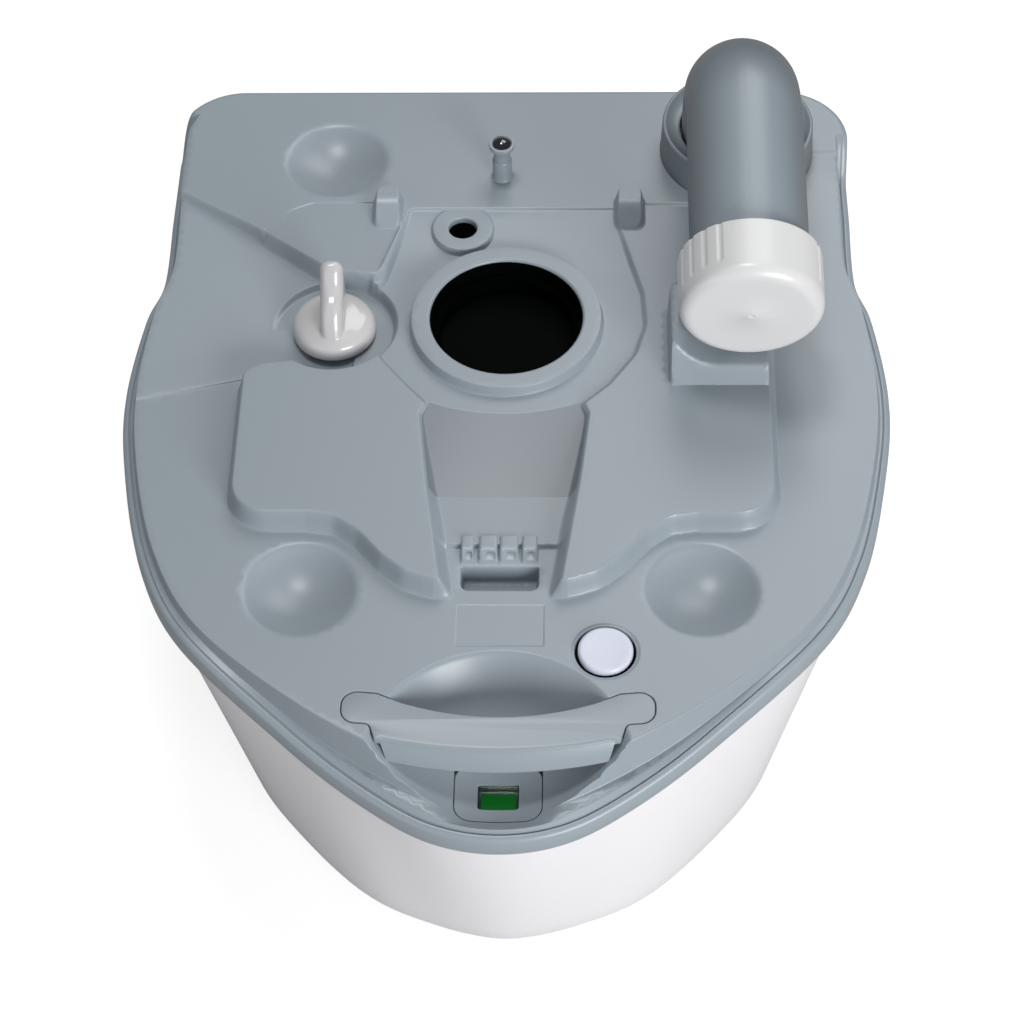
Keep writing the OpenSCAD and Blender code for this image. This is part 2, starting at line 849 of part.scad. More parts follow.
module shaft_clip() {
    mouth = 5;
    color("#b4b7bb")
        at_knob()
            difference() {
                tube(2 * clip_out_r, 2 * clip_groove_r + 2 * run_gap, blade_z - 2 * run_gap - clip_t,
                    blade_z - 2 * run_gap);
                translate([-clip_out_r - over, -mouth / 2, blade_z - 2 * clip_t - over])
                    cube([clip_out_r, mouth, 2 * clip_t + over]);
            }
}

knob_foot_z = knob_seat_z + gap;
knob_top_z = knob_seat_z + knob_h;
knob_dome_h = 13.5;
knob_wall = 2.7;
fin_w = 11.6;
fin_front = 17;
fin_rear = 16;
// Side view of the finger fin, as shares of its reach from the axis and of its height over the seat
fin_shares = [[-0.9, 0.26], [-1, 0.3], [-0.9, 0.42], [-0.72, 0.56], [-0.5, 0.64], [-0.1, 0.72],
    [0.12, 0.78], [0.3, 0.88], [0.44, 0.96], [0.62, 1], [0.84, 0.98], [0.98, 0.9], [1, 0.78],
    [1, 0.3], [0.9, 0.26]];
// Section of the knob's base, as shares of its radius and of the dome's height
dome_shares = [[1, 0], [1, 0.3], [0.97, 0.55], [0.9, 0.78], [0.78, 0.92], [0.6, 0.99], [0, 1]];

module valve_knob() {
    r = knob_d / 2;
    dome = [for (s = dome_shares) [r * s[0], knob_foot_z + knob_dome_h * s[1]]];
    hollow_z = drive_z + gap;
    color("#d9d8da")
        at_knob()
            difference() {
                union() {
                    rotate_extrude()
                        polygon(concat([[0, knob_foot_z]], dome));
                    intersection() {
                        side_prism([for (s = fin_shares) [fin_rear * s[0], knob_seat_z + knob_h * s[1]]],
                            -fin_w / 2, fin_w / 2);
                        rod(2 * fin_front, knob_foot_z, knob_top_z);
                    }
                }
                rotate_extrude()
                    polygon([[0, knob_foot_z - over], [r - knob_wall, knob_foot_z - over],
                        [r - knob_wall, hollow_z - knob_wall], [r - 2 * knob_wall, hollow_z],
                        [0, hollow_z]]);
                translate([-drive_w / 2 - square_gap, -drive_w / 2 - square_gap, drive_z])
                    cube([drive_w + 2 * square_gap, drive_w + 2 * square_gap, drive_h + square_gap]);
            }
}

// LATCH POST

cup_r = 6.9;
cup_h = 5;
ball_r = 5.8;
ball_rise = 1.8;
waist_r = 4.3;
head_share = 0.25;
latch_ball_z = rear_z + post_h - ball_r;
post_shoulder_h = 13;

module latch_post() {
    top = latch_ball_z + ball_r - ball_rise;
    color("#9aa2a9")
        at_latch()
            difference() {
                rotate_extrude()
                    polygon([[0, rear_z - latch_spigot_h + gap], [latch_spigot_r, rear_z - latch_spigot_h + gap],
                        [latch_spigot_r, rear_z + run_gap], [post_d / 2, rear_z + run_gap],
                        [post_d / 2, rear_z + post_shoulder_h - over],
                        [waist_r, rear_z + post_shoulder_h], [waist_r, top - cup_h],
                        [cup_r - over / 2, top - cup_h / 2], [cup_r, top], [0, top]]);
                ball_head(run_gap);
            }
}

// Round head with a flat foot, larger all round by grow
module ball_head(grow) {
    intersection() {
        translate([0, 0, latch_ball_z])
            sphere(r = ball_r + grow);
        rod(4 * ball_r, latch_ball_z + head_share * ball_r - grow, latch_ball_z + 2 * ball_r);
    }
}

module latch_ball() {
    color("#c9ccd0")
        at_latch()
            ball_head(0);
}

// SPOUT

collar_foot_z = rear_z + gap / 2;
collar_top_z = rear_z + collar_h;
collar_draw = 1.1;
collar_rim = 5.5;
flange_play = 0.7;
collar_bore_r = spout_boss_r + collar_fit;
lip_bore_r = tube_d / 2 + 3 * gap;
flare_r = collar_d / 2 - collar_rim;
flange_r = spout_boss_r - flange_play;
flange_z = rear_z + spout_boss_h + gap;
flange_t = 3.4;
flange_top_z = flange_z + flange_t;
lip_z = flange_top_z + 2 * gap;
lip_h = 4;

module spout_collar() {
    r = collar_d / 2;
    color("#8e979d")
        at_spout()
            rotate_extrude()
                polygon([[collar_bore_r, collar_foot_z], [r, collar_foot_z],
                    [r - collar_draw, collar_top_z - over], [r - collar_draw - over, collar_top_z],
                    [flare_r, collar_top_z], [flare_r - over, collar_top_z - over],
                    [lip_bore_r + over, lip_z + lip_h + over], [lip_bore_r, lip_z + lip_h],
                    [lip_bore_r, lip_z], [collar_bore_r, lip_z]]);
}

module spout_o_ring() {
    color("#18191b")
        at_spout()
            wire_ring(ring_groove_r, ring_wire_r,
                rear_z + spout_boss_h - ring_groove_depth + ring_wire_r + run_gap);
}

thread_count = 3;
thread_pitch = 5;
thread_r = 1.2;
thread_w = 2;
thread_start = 4;

// Reach of the straight tubes into the bend, and the bend's smaller wall all round
knit = 0.5;
bend_step = 0.1;

// Tube with all its walls square to a straight axis
module hollow(d, z0, z1) {
    difference() {
        rod(d, z0, z1);
        rod(2 * spout_bore_r, z0 - over, z1 + over);
    }
}

module spout_elbow() {
    color("#939ba2") {
        at_spout() {
            hollow(2 * flange_r, flange_z, flange_top_z);
            hollow(tube_d, flange_z, bend_z + knit);
        }
        translate([spout_x, spout_y - bend_r, bend_z])
            rotate([90, 0, 90])
                rotate_extrude(angle = bend_turn)
                    translate([bend_r, 0])
                        difference() {
                            circle(d = tube_d - 2 * bend_step);
                            circle(r = spout_bore_r + bend_step);
                        }
        at_run() {
            hollow(tube_d, -knit, run_l);
            for (i = [0:thread_count - 1])
                hollow(tube_d + 2 * thread_r, run_l - thread_start - i * thread_pitch - thread_w,
                    run_l - thread_start - i * thread_pitch);
        }
    }
}

cap_plate = 3;
gasket_t = 1.6;
cap_wall = 4.1;
cap_bore_r = cap_d / 2 - cap_wall;
cap_edge_r = 6;
face_l = run_l + gasket_t + cap_plate + gap;
groove_groups = 2;
groove_count = 7;
groove_step = 14.5;
groove_turn = -19;
groove_r = 3.4;
groove_depth = 1.3;
groove_l = 21;

module spout_cap() {
    r = cap_d / 2;
    edge = arc([r - cap_edge_r, cap_l - cap_edge_r], cap_edge_r, 0, 90, arc_steps);
    color("#d9d9d9")
        at_run()
            translate([0, 0, face_l - cap_l])
                difference() {
                    rotate_extrude()
                        polygon(concat([[cap_bore_r, 0], [r - over / 2, 0], [r, over / 2]], edge,
                            [[0, cap_l], [0, cap_l - cap_plate], [cap_bore_r, cap_l - cap_plate]]));
                    for (g = [0:groove_groups - 1])
                        for (i = [0:groove_count - 1])
                            rotate([0, 0, groove_turn + 360 * g / groove_groups
                                + (i - (groove_count - 1) / 2) * groove_step])
                                translate([r + groove_r - groove_depth, 0, 0]) {
                                    rod(2 * groove_r, -over, groove_l, $fn = 24);
                                    translate([0, 0, groove_l])
                                        sphere(r = groove_r, $fn = 24);
                                }
                }
}

module cap_gasket() {
    color("#202124")
        at_run()
            rod(2 * (cap_bore_r - gap), run_l + gap / 3, run_l + gap / 3 + gasket_t);
}

// AIR VENT

guide_out_r = vent_hole_d / 2 - gap;
guide_in_r = button_d / 2 + gap;
guide_flange_in = 0.7;
guide_flange_t = 3.8;
guide_sink = 1.2;
guide_flange_r = vent_boss_r - guide_flange_in;
guide_top_z = deck_h - guide_sink;
guide_flange_z = vent_boss_foot - guide_flange_t;
chamber_out_r = 12;
chamber_in_r = 9.6;
chamber_depth = 28;
chamber_foot_z = deck_h - chamber_depth;
chamber_floor = 3;
stem_r = 2.8;
stem_hole_r = 3.2;
stem_foot_r = 4.4;
stem_foot_t = 2;
poppet_r = 8.6;
poppet_t = 3.4;
stem_foot_z = chamber_foot_z - poppet_t - stem_foot_t;
air_hole_r = 1.3;
air_hole_orbit = 5.8;
button_h = 4;
button_z = deck_h - press_travel / 2;
button_edge = 0.7;
coil_r = 7.5;
coil_wire_r = 0.8;
coil_turns = 6;
coil_steps = 20;
coil_sides = 6;

module vent_guide() {
    color("#e4e4e6")
        at_vent()
            difference() {
                rotate_extrude()
                    polygon([[stem_hole_r, chamber_foot_z], [chamber_out_r, chamber_foot_z],
                        [chamber_out_r, guide_flange_z], [guide_flange_r, guide_flange_z],
                        [guide_flange_r, vent_boss_foot - gap / 2], [guide_out_r, vent_boss_foot - gap / 2],
                        [guide_out_r, guide_top_z], [guide_in_r, guide_top_z],
                        [guide_in_r, button_z - press_travel - over],
                        [chamber_in_r, button_z - press_travel - over],
                        [chamber_in_r, chamber_foot_z + chamber_floor],
                        [stem_hole_r, chamber_foot_z + chamber_floor]]);
                for (i = [0:3])
                    rotate([0, 0, 90 * i])
                        translate([air_hole_orbit, 0, 0])
                            rod(2 * air_hole_r, chamber_foot_z - over,
                                chamber_foot_z + chamber_floor + over, $fn = 24);
            }
}

module vent_button() {
    r = button_d / 2;
    color("#cdd2dc")
        at_vent()
            difference() {
                rotate_extrude()
                    polygon([[0, button_z], [r, button_z], [r, button_z + button_h - 2 * button_edge],
                        [r - button_edge, button_z + button_h - button_edge / 2],
                        [r - 3 * button_edge, button_z + button_h], [0, button_z + button_h]]);
                rod(2 * (stem_r + run_gap), button_z - over, button_z + button_h / 2);
            }
}

module vent_stem() {
    color("#dcdde0")
        at_vent() {
            rod(2 * stem_r, stem_foot_z, button_z + button_h / 2 - run_gap);
            rod(2 * stem_foot_r, stem_foot_z, stem_foot_z + stem_foot_t - gap / 2);
        }
}

// Round wire wound between two heights
module coil(r, wire_r, z0, z1) {
    n = coil_turns * coil_steps;
    rise = z1 - z0 - 2 * wire_r;
    points = [for (i = [0:n]) for (k = [0:coil_sides - 1])
        let (a = 360 * i / coil_steps, b = 360 * k / coil_sides, q = r + wire_r * cos(b))
        [q * cos(a), q * sin(a), z0 + wire_r + rise * i / n + wire_r * sin(b)]];
    sides = [for (i = [0:n - 1]) for (k = [0:coil_sides - 1])
        let (a = i * coil_sides + k, b = i * coil_sides + (k + 1) % coil_sides)
        each [[a, b, b + coil_sides], [a, b + coil_sides, a + coil_sides]]];
    polyhedron(points, concat(sides, [[for (k = [coil_sides - 1:-1:0]) k],
        [for (k = [0:coil_sides - 1]) n * coil_sides + k]]), convexity = 12);
}

module vent_spring() {
    color("#aeb2b6")
        at_vent()
            coil(coil_r, coil_wire_r, chamber_foot_z + chamber_floor + run_gap, button_z - run_gap);
}

module vent_poppet() {
    color("#1a1b1d")
        at_vent()
            tube(2 * poppet_r, 2 * (stem_r + run_gap), stem_foot_z + stem_foot_t, chamber_foot_z - gap / 2);
}

// CARRY HANDLE

bar_lean = 4.5;
bar_slope = 3;

module carry_handle() {
    plate_z = deck_h - ear_t;
    n = arc_steps;
    front_half = [for (i = [-n:n]) let (x = bar_half * i / n) [x, bar_front_y + x * x / (2 * bar_front_r)]];
    strip = concat(front_half, [for (i = [2 * n:-1:0]) front_half[i] + [0, wall]]);
    color("#98a0a7") {
        prism(handle_path, plate_z, deck_h);
        loft([
            [for (p = strip) [p[0] - sign(p[0]) * bar_slope, p[1] - bar_lean, deck_h - bar_skirt]],
            [for (p = strip) [p[0], p[1], deck_h - over]]], false);
    }
}

// LEVEL INDICATOR

pin_behind = 6.2;
pin_depth = 56.5;
pin_y = -well_y + pin_behind;
pin_z = deck_h - pin_depth;
pin_r = 1.5;
panel_t = wall + 3;
flange_grow = 4;
cheek_x = 13;
cheek_t = 2.8;
cheek_l = 10;
cheek_foot = 6;
window_floor = 3.4;
window_ledge = 1.5;
window_r = 1.5;
lens_t = 2.4;
window_behind = 1.7;
window_y = -well_y + window_behind;
lens_z = deck_h - well_depth - lens_t;
flag_half = 9;
flag_band = 2.5;
flag_start = 31;
flag_span = 95;
hub_pin_r = 4;
web_t = 2;
lug_r = 1;
lug_orbit = 5.6;
eye_r = 7.5;
eye_t = 3;
arm_angle = -62;
arm_l = (pin_z - floor_t - float_low - float_d / 2) / sin(-arm_angle);
arm_bar_w = 6;
spigot_r = 2;
spigot_l = 24;
float_l = 46;
float_wall_gap = 0.1;
head_r = 2.6;
head_t = 1.6;

module at_pin() {
    translate([0, pin_y, pin_z])
        children();
}

module indicator_panel() {
    color("#8b949b")
        difference() {
            union() {
                intersection() {
                    prism(panel_path, 0, deck_h);
                    difference() {
                        well_ball(panel_t);
                        well_ball(0);
                    }
                }
                intersection() {
                    prism(inset(panel_path, -flange_grow), 0, deck_h);
                    prism(inset(deck_path, body_gap + 2 * wall), 0, deck_h);
                    difference() {
                        well_ball(panel_t);
                        well_ball(wall + run_gap);
                    }
                }
                for (s = [-1, 1])
                    translate([s * (cheek_x + cheek_t / 2) - cheek_t / 2, pin_y - cheek_l / 2,
                        pin_z - cheek_foot])
                        cube([cheek_t, cheek_l, lens_z - pin_z + cheek_foot - wall / 2]);
            }
            prism(moved(round_rect(window_w, window_l, window_r), [0, window_y]), lens_z - run_gap, deck_h);
            prism(moved(round_rect(window_w - 2 * window_ledge, window_l - 2 * window_ledge, window_r),
                [0, window_y]), 0, deck_h);
            at_pin()
                cross_rod(pin_r + square_gap, -cheek_x - 2 * cheek_t, cheek_x + 2 * cheek_t);
        }
}

module indicator_window() {
    color("#cfe6d6")
        prism(moved(round_rect(window_w - 2 * gap, window_l - 2 * gap, window_r), [0, window_y]),
            lens_z, lens_z + lens_t - gap / 2);
}

module indicator_flag() {
    color("#0b7f2c")
        at_pin()
            difference() {
                union() {
                    rotate([90, 0, 90])
                        rotate([0, 0, flag_start])
                            rotate_extrude(angle = flag_span) {
                                translate([flag_r - flag_band, -flag_half])
                                    square([flag_band, 2 * flag_half]);
                                translate([hub_pin_r / 2, flag_half - web_t])
                                    square([flag_r - flag_band, web_t]);
                            }
                    cross_rod(hub_pin_r, -flag_half, flag_half);
                }
                cross_rod(pin_r + run_gap, -flag_half - over, flag_half + over);
                rotate([flag_start + flag_span / 2, 0, 0])
                    translate([0, lug_orbit, 0])
                        cross_rod(lug_r + square_gap, flag_half - web_t - over, flag_half + over, $fn = 24);
            }
}

eye_x = flag_half + gap / 2;

module float_arm() {
    color("#26272a")
        at_pin()
            difference() {
                union() {
                    cross_rod(eye_r, eye_x, eye_x + eye_t);
                    rotate([flag_start + flag_span / 2, 0, 0])
                        translate([0, lug_orbit, 0])
                            cross_rod(lug_r, flag_half - web_t, eye_x + over, $fn = 24);
                    rotate([arm_angle, 0, 0]) {
                        translate([eye_x, 0, -arm_bar_w / 2])
                            cube([eye_t, arm_l - float_d / 2 - gap, arm_bar_w]);
                        translate([eye_x + eye_t / 2, arm_l - float_d / 2 - 2 * over, 0])
                            rotate([-90, 0, 0])
                                cylinder(r = spigot_r, h = spigot_l);
                    }
                }
                cross_rod(pin_r + run_gap, eye_x - over, eye_x + eye_t + over);
            }
}

module level_float() {
    color("#e6e0c8")
        at_pin()
            rotate([arm_angle, 0, 0])
                translate([eye_x + eye_t / 2, arm_l, 0])
                    difference() {
                        cross_rod(float_d / 2, -float_l / 2, float_l / 2);
                        translate([0, -float_d / 2 - 2 * over, 0])
                            rotate([-90, 0, 0])
                                cylinder(r = spigot_r + float_wall_gap, h = spigot_l + gap);
                    }
}

module float_pin() {
    reach = cheek_x + cheek_t + gap / 2;
    color("#b4b7bb")
        at_pin() {
            cross_rod(pin_r, -reach, reach);
            cross_rod(head_r, reach - run_gap, reach + head_t);
            cross_rod(head_r, -reach - head_t, -reach + run_gap);
        }
}

tank_shell();
deck();
lip_seal();
valve_housing();
housing_screws();
valve_blade();
valve_shaft();
shaft_seal();
shaft_clip();
valve_knob();
latch_post();
latch_ball();
spout_collar();
spout_o_ring();
spout_elbow();
spout_cap();
cap_gasket();
vent_guide();
vent_button();
vent_stem();
vent_spring();
vent_poppet();
carry_handle();
indicator_panel();
indicator_window();
indicator_flag();
float_arm();
level_float();
float_pin();
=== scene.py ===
"""Dressed model of a portable toilet's waste-holding tank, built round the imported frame.

Sizes are in millimetres unless a name says otherwise; meshes are stored in metres.
"""
from __future__ import annotations

import logging
import math
from dataclasses import dataclass, field
from enum import Enum
from typing import Callable, Sequence

import bpy
import numpy as np
from mathutils import Matrix, Vector
from mathutils.geometry import delaunay_2d_cdt


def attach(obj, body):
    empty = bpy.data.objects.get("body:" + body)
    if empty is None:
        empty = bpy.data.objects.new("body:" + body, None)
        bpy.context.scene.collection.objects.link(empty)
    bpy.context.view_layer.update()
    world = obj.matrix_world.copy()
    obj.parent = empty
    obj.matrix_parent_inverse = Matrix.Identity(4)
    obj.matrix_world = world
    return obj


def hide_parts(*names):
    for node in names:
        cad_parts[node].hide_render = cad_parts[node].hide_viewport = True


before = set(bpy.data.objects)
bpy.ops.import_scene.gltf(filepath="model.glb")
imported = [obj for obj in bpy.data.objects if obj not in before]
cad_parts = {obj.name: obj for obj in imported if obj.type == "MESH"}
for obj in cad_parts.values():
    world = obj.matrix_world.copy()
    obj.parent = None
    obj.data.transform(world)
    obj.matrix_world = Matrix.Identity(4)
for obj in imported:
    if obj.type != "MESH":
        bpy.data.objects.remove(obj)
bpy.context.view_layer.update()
LOG = logging.getLogger("tank")
MM = 0.001
Loop = np.ndarray
Points = Sequence[Sequence[float]]
Field = Callable[[Loop], np.ndarray]
Socket = bpy.types.NodeSocket
Inputs = dict[str | int, object]
Material = bpy.types.Material
Object = bpy.types.Object


# Curves


def smooth(s: np.ndarray | float) -> np.ndarray:
    """Smooth rise from 0 to 1 over s from 0 to 1."""
    t = np.clip(s, 0.0, 1.0)
    return t * t * (3.0 - 2.0 * t)


def wall_profile(t: np.ndarray, share: float) -> np.ndarray:
    """Height of a moulded wall with a rounded foot and a rounded top.

    Args:
        t: Place across the wall, 0 at the foot and 1 at the top.
        share: Share of the wall's run that each rounding takes.

    Returns:
        Height from 0 to 1.
    """
    t = np.clip(t, 0.0, 1.0)
    slope = 1.0 / (1.0 - share)
    low = slope * t * t / (2.0 * share)
    high = 1.0 - slope * (1.0 - t) ** 2 / (2.0 * share)
    return np.where(t < share, low, np.where(t > 1.0 - share, high, slope * (t - share / 2.0)))


def soft_min(a: np.ndarray, b: np.ndarray | float, k: float) -> np.ndarray:
    """Smaller of a and b with the crease between them rounded over k."""
    h = np.clip(0.5 + 0.5 * (b - a) / k, 0.0, 1.0)
    return b + (a - b) * h - k * h * (1.0 - h)


def unit(rows: np.ndarray) -> np.ndarray:
    """Rows brought to length 1."""
    return rows / np.linalg.norm(rows, axis=1, keepdims=True)


def catmull(points: Points, steps: int) -> Loop:
    """Curve through points, ends doubled, without its last point.

    Args:
        points: Points that the curve passes.
        steps: Steps between two points.

    Returns:
        Points on the curve, one row each.
    """
    p = np.array([points[0], *points, points[-1]], float)
    t = np.arange(steps)[:, None] / steps
    spans = zip(p, p[1:], p[2:], p[3:])
    return np.concatenate([
        b + t * ((c - a) / 2 + t * (a - 2.5 * b + 2 * c - d / 2 + t * (1.5 * (b - c) + (d - a) / 2)))
        for a, b, c, d in spans
    ])


def arc(centre: Sequence[float], radius: float, start: float, end: float, steps: int) -> Loop:
    """Points of an arc given in degrees, both ends included."""
    a = np.radians(np.linspace(start, end, steps + 1))
    return np.array(centre) + radius * np.stack([np.cos(a), np.sin(a)], 1)


def circle(centre: Sequence[float], radius: float, steps: int) -> Loop:
    """Points of a whole circle."""
    return arc(centre, radius, 0, 360, steps)[:-1]


def rounded(corners: Sequence[tuple[float, float, float]], arc_step: float = 0.18) -> Loop:
    """Closed polygon with its corners rounded.

    Args:
        corners: x, y and radius of each corner, counter-clockwise.
        arc_step: Largest turn between two points of a corner, in radians.

    Returns:
        Points of the polygon.
    """
    rows: list[np.ndarray] = []
    for i, (x, y, r) in enumerate(corners):
        p = np.array([x, y])
        u = np.array(corners[i - 1][:2]) - p
        v = np.array(corners[(i + 1) % len(corners)][:2]) - p
        lu, lv = np.linalg.norm(u), np.linalg.norm(v)
        u, v = u / lu, v / lv
        half = math.acos(float(np.clip(u @ v, -1, 1))) / 2
        if r <= 0 or half > math.pi / 2 - 0.02:
            rows.append(p)
            continue
        reach = min(r / math.tan(half), 0.49 * lu, 0.49 * lv)
        r = reach * math.tan(half)
        middle = p + (u + v) / np.linalg.norm(u + v) * r / math.sin(half)
        start = math.atan2(*(p + u * reach - middle)[::-1])
        end = math.atan2(*(p + v * reach - middle)[::-1])
        turn = (end - start + math.pi) % (2 * math.pi) - math.pi
        steps = max(3, int(abs(turn) / arc_step))
        rows.extend(arc(middle, r, math.degrees(start), math.degrees(start + turn), steps))
    return np.array(rows)


def mirrored(half: list[tuple[float, float, float]]) -> list[tuple[float, float, float]]:
    """Corners of the right half followed by those of the left one."""
    return half + [(-x, y, r) for x, y, r in half[::-1]]


def panel(low: Sequence[float], high: Sequence[float], front_r: float, rear_r: float) -> Loop:
    """Rectangle in plan with its front and its rear corners rounded."""
    (x0, y0), (x1, y1) = low, high
    return rounded([(x0, y0, front_r), (x1, y0, front_r), (x1, y1, rear_r), (x0, y1, rear_r)])


def resampled(path: Loop, spacing: float) -> Loop:
    """Closed path with extra points.

    Args:
        path: Points of the path.
        spacing: Largest distance between two points of the result.

    Returns:
        Points of the path with the extra ones.
    """
    rows = []
    for a, b in zip(path, np.roll(path, -1, 0)):
        n = max(1, int(math.ceil(np.linalg.norm(b - a) / spacing)))
        rows.extend(a + (b - a) * k / n for k in range(n))
    return np.array(rows)


def normals_of(path: Loop) -> Loop:
    """Outward unit normals of a closed counter-clockwise path."""
    t = np.roll(path, -1, 0) - np.roll(path, 1, 0)
    return unit(np.stack([t[:, 1], -t[:, 0]], 1))


def lifted(path: Loop, z: np.ndarray | float) -> np.ndarray:
    """Points in plan brought to height z."""
    return np.column_stack([path, np.broadcast_to(z, len(path))])


class Outline:
    """Closed outline with a signed distance, negative inside."""

    chunk = 4096

    def __init__(self, path: Loop) -> None:
        """Keeps the counter-clockwise path."""
        self.path = np.array(path, float)
        self.normal = normals_of(self.path)

    def distance(self, pts: Loop) -> tuple[np.ndarray, np.ndarray]:
        """Signed distance of points and the nearest place on the outline.

        Args:
            pts: Points, one row each.

        Returns:
            Distances, and the nearest points, along normals that turn evenly between the corners.
        """
        parts = [self.chunk_distance(pts[i : i + self.chunk]) for i in range(0, len(pts), self.chunk)]
        return np.concatenate([d for d, _ in parts]), np.concatenate([n for _, n in parts])

    def chunk_distance(self, p: Loop) -> tuple[np.ndarray, np.ndarray]:
        """Distance and nearest place for a chunk of points that fits in memory.

        Args:
            p: Points, one row each.

        Returns:
            Distances and nearest points.
        """
        a = self.path
        b = np.roll(a, -1, 0)
        ab = b - a
        length = np.maximum((ab**2).sum(1), 1e-12)
        ap = p[:, None, :] - a[None]
        t = np.clip((ap * ab).sum(-1) / length, 0, 1)
        d2 = ((ap - t[..., None] * ab) ** 2).sum(-1)
        k = d2.argmin(1)
        rows = np.arange(len(p))
        crosses = (a[:, 1] > p[:, 1:2]) != (b[:, 1] > p[:, 1:2])
        with np.errstate(divide="ignore", invalid="ignore"):
            x = ab[:, 0] * (p[:, 1:2] - a[:, 1]) / ab[:, 1] + a[:, 0]
        inside = (crosses & (p[:, 0:1] < x)).sum(1) % 2 == 1
        dist = np.sqrt(d2[rows, k]) * np.where(inside, -1, 1)
        share = t[rows, k, None]
        n = unit(self.normal[k] * (1 - share) + np.roll(self.normal, -1, 0)[k] * share)
        return dist, p - dist[:, None] * n

    def lines(self, offsets: Sequence[float], spacing: float) -> list[Loop]:
        """Copies of the outline moved outwards by each offset."""
        base = resampled(self.path, spacing)
        return [base + d * normals_of(base) for d in offsets]


class Circle(Outline):
    """Round outline."""

    def __init__(self, centre: Sequence[float], radius: float) -> None:
        """Keeps the centre and the radius."""
        self.centre, self.radius = np.array(centre), radius
        super().__init__(circle(centre, radius, 64))

    def distance(self, pts: Loop) -> tuple[np.ndarray, np.ndarray]:
        """Signed distance of points and the nearest place on the circle.

        Args:
            pts: Points, one row each.

        Returns:
            Distances and nearest points.
        """
        v = pts - self.centre
        r = np.maximum(np.linalg.norm(v, axis=1), 1e-9)
        return r - self.radius, self.centre + v / r[:, None] * self.radius

    def lines(self, offsets: Sequence[float], spacing: float) -> list[Loop]:
        """Circles moved outwards by each offset."""
        n = max(24, int(2 * math.pi * self.radius / spacing))
        return [circle(self.centre, self.radius + d, n) for d in offsets]


class Blend(Enum):
    """How a feature meets the surface under it."""

    RAISE = "raise"
    CUT = "cut"


@dataclass
class Feature:
    """A raised or sunk area of the deck.

    The outline is the upper edge of its wall; a raised area's wall runs outwards and a sunk one's inwards.
    The level and the run of the wall are numbers or follow the place in plan.
    """

    blend: Blend
    outline: Outline
    level: float | Field
    run: float | Field
    share: float = 0.35
    spacing: float = 3.2
    reach: float = 14.0
    guard: float = 0.35

    def apply(self, pts: Loop, z: np.ndarray) -> np.ndarray:
        """Heights after this feature.

        Args:
            pts: Points in plan.
            z: Heights before.

        Returns:
            Heights after.
        """
        low, high = self.outline.path.min(0) - self.reach, self.outline.path.max(0) + self.reach
        near = np.all((pts > low) & (pts < high), axis=1)
        if not near.any():
            return z
        p, old = pts[near], z[near]
        level = self.level(p) if callable(self.level) else self.level
        across = self.outline.distance(p)[0] / (self.run(p) if callable(self.run) else self.run)
        if self.blend is Blend.RAISE:
            change = (np.maximum(level, old) - old) * (1.0 - wall_profile(across, self.share))
        else:
            change = (np.minimum(level, old) - old) * wall_profile(-across, self.share)
        out = z.copy()
        out[near] = old + change
        return out

    def lines(self) -> list[Loop]:
        """Lines of mesh points across the wall.

        Returns:
            Closed lines.
        """
        s = self.share
        side = 1.0 if self.blend is Blend.RAISE else -1.0
        places = [0.0, s / 2, s, 0.5, 1 - s, 1 - s / 2, 1.0]
        if callable(self.run):
            path = resampled(self.outline.path, self.spacing)
            return [path + (side * k * self.run(path))[:, None] * normals_of(path) for k in places]
        if self.run < 1.0:
            places += [-self.guard / self.run, 1 + self.guard / self.run]
        return self.outline.lines([side * k * self.run for k in places], self.spacing)


# Meshes


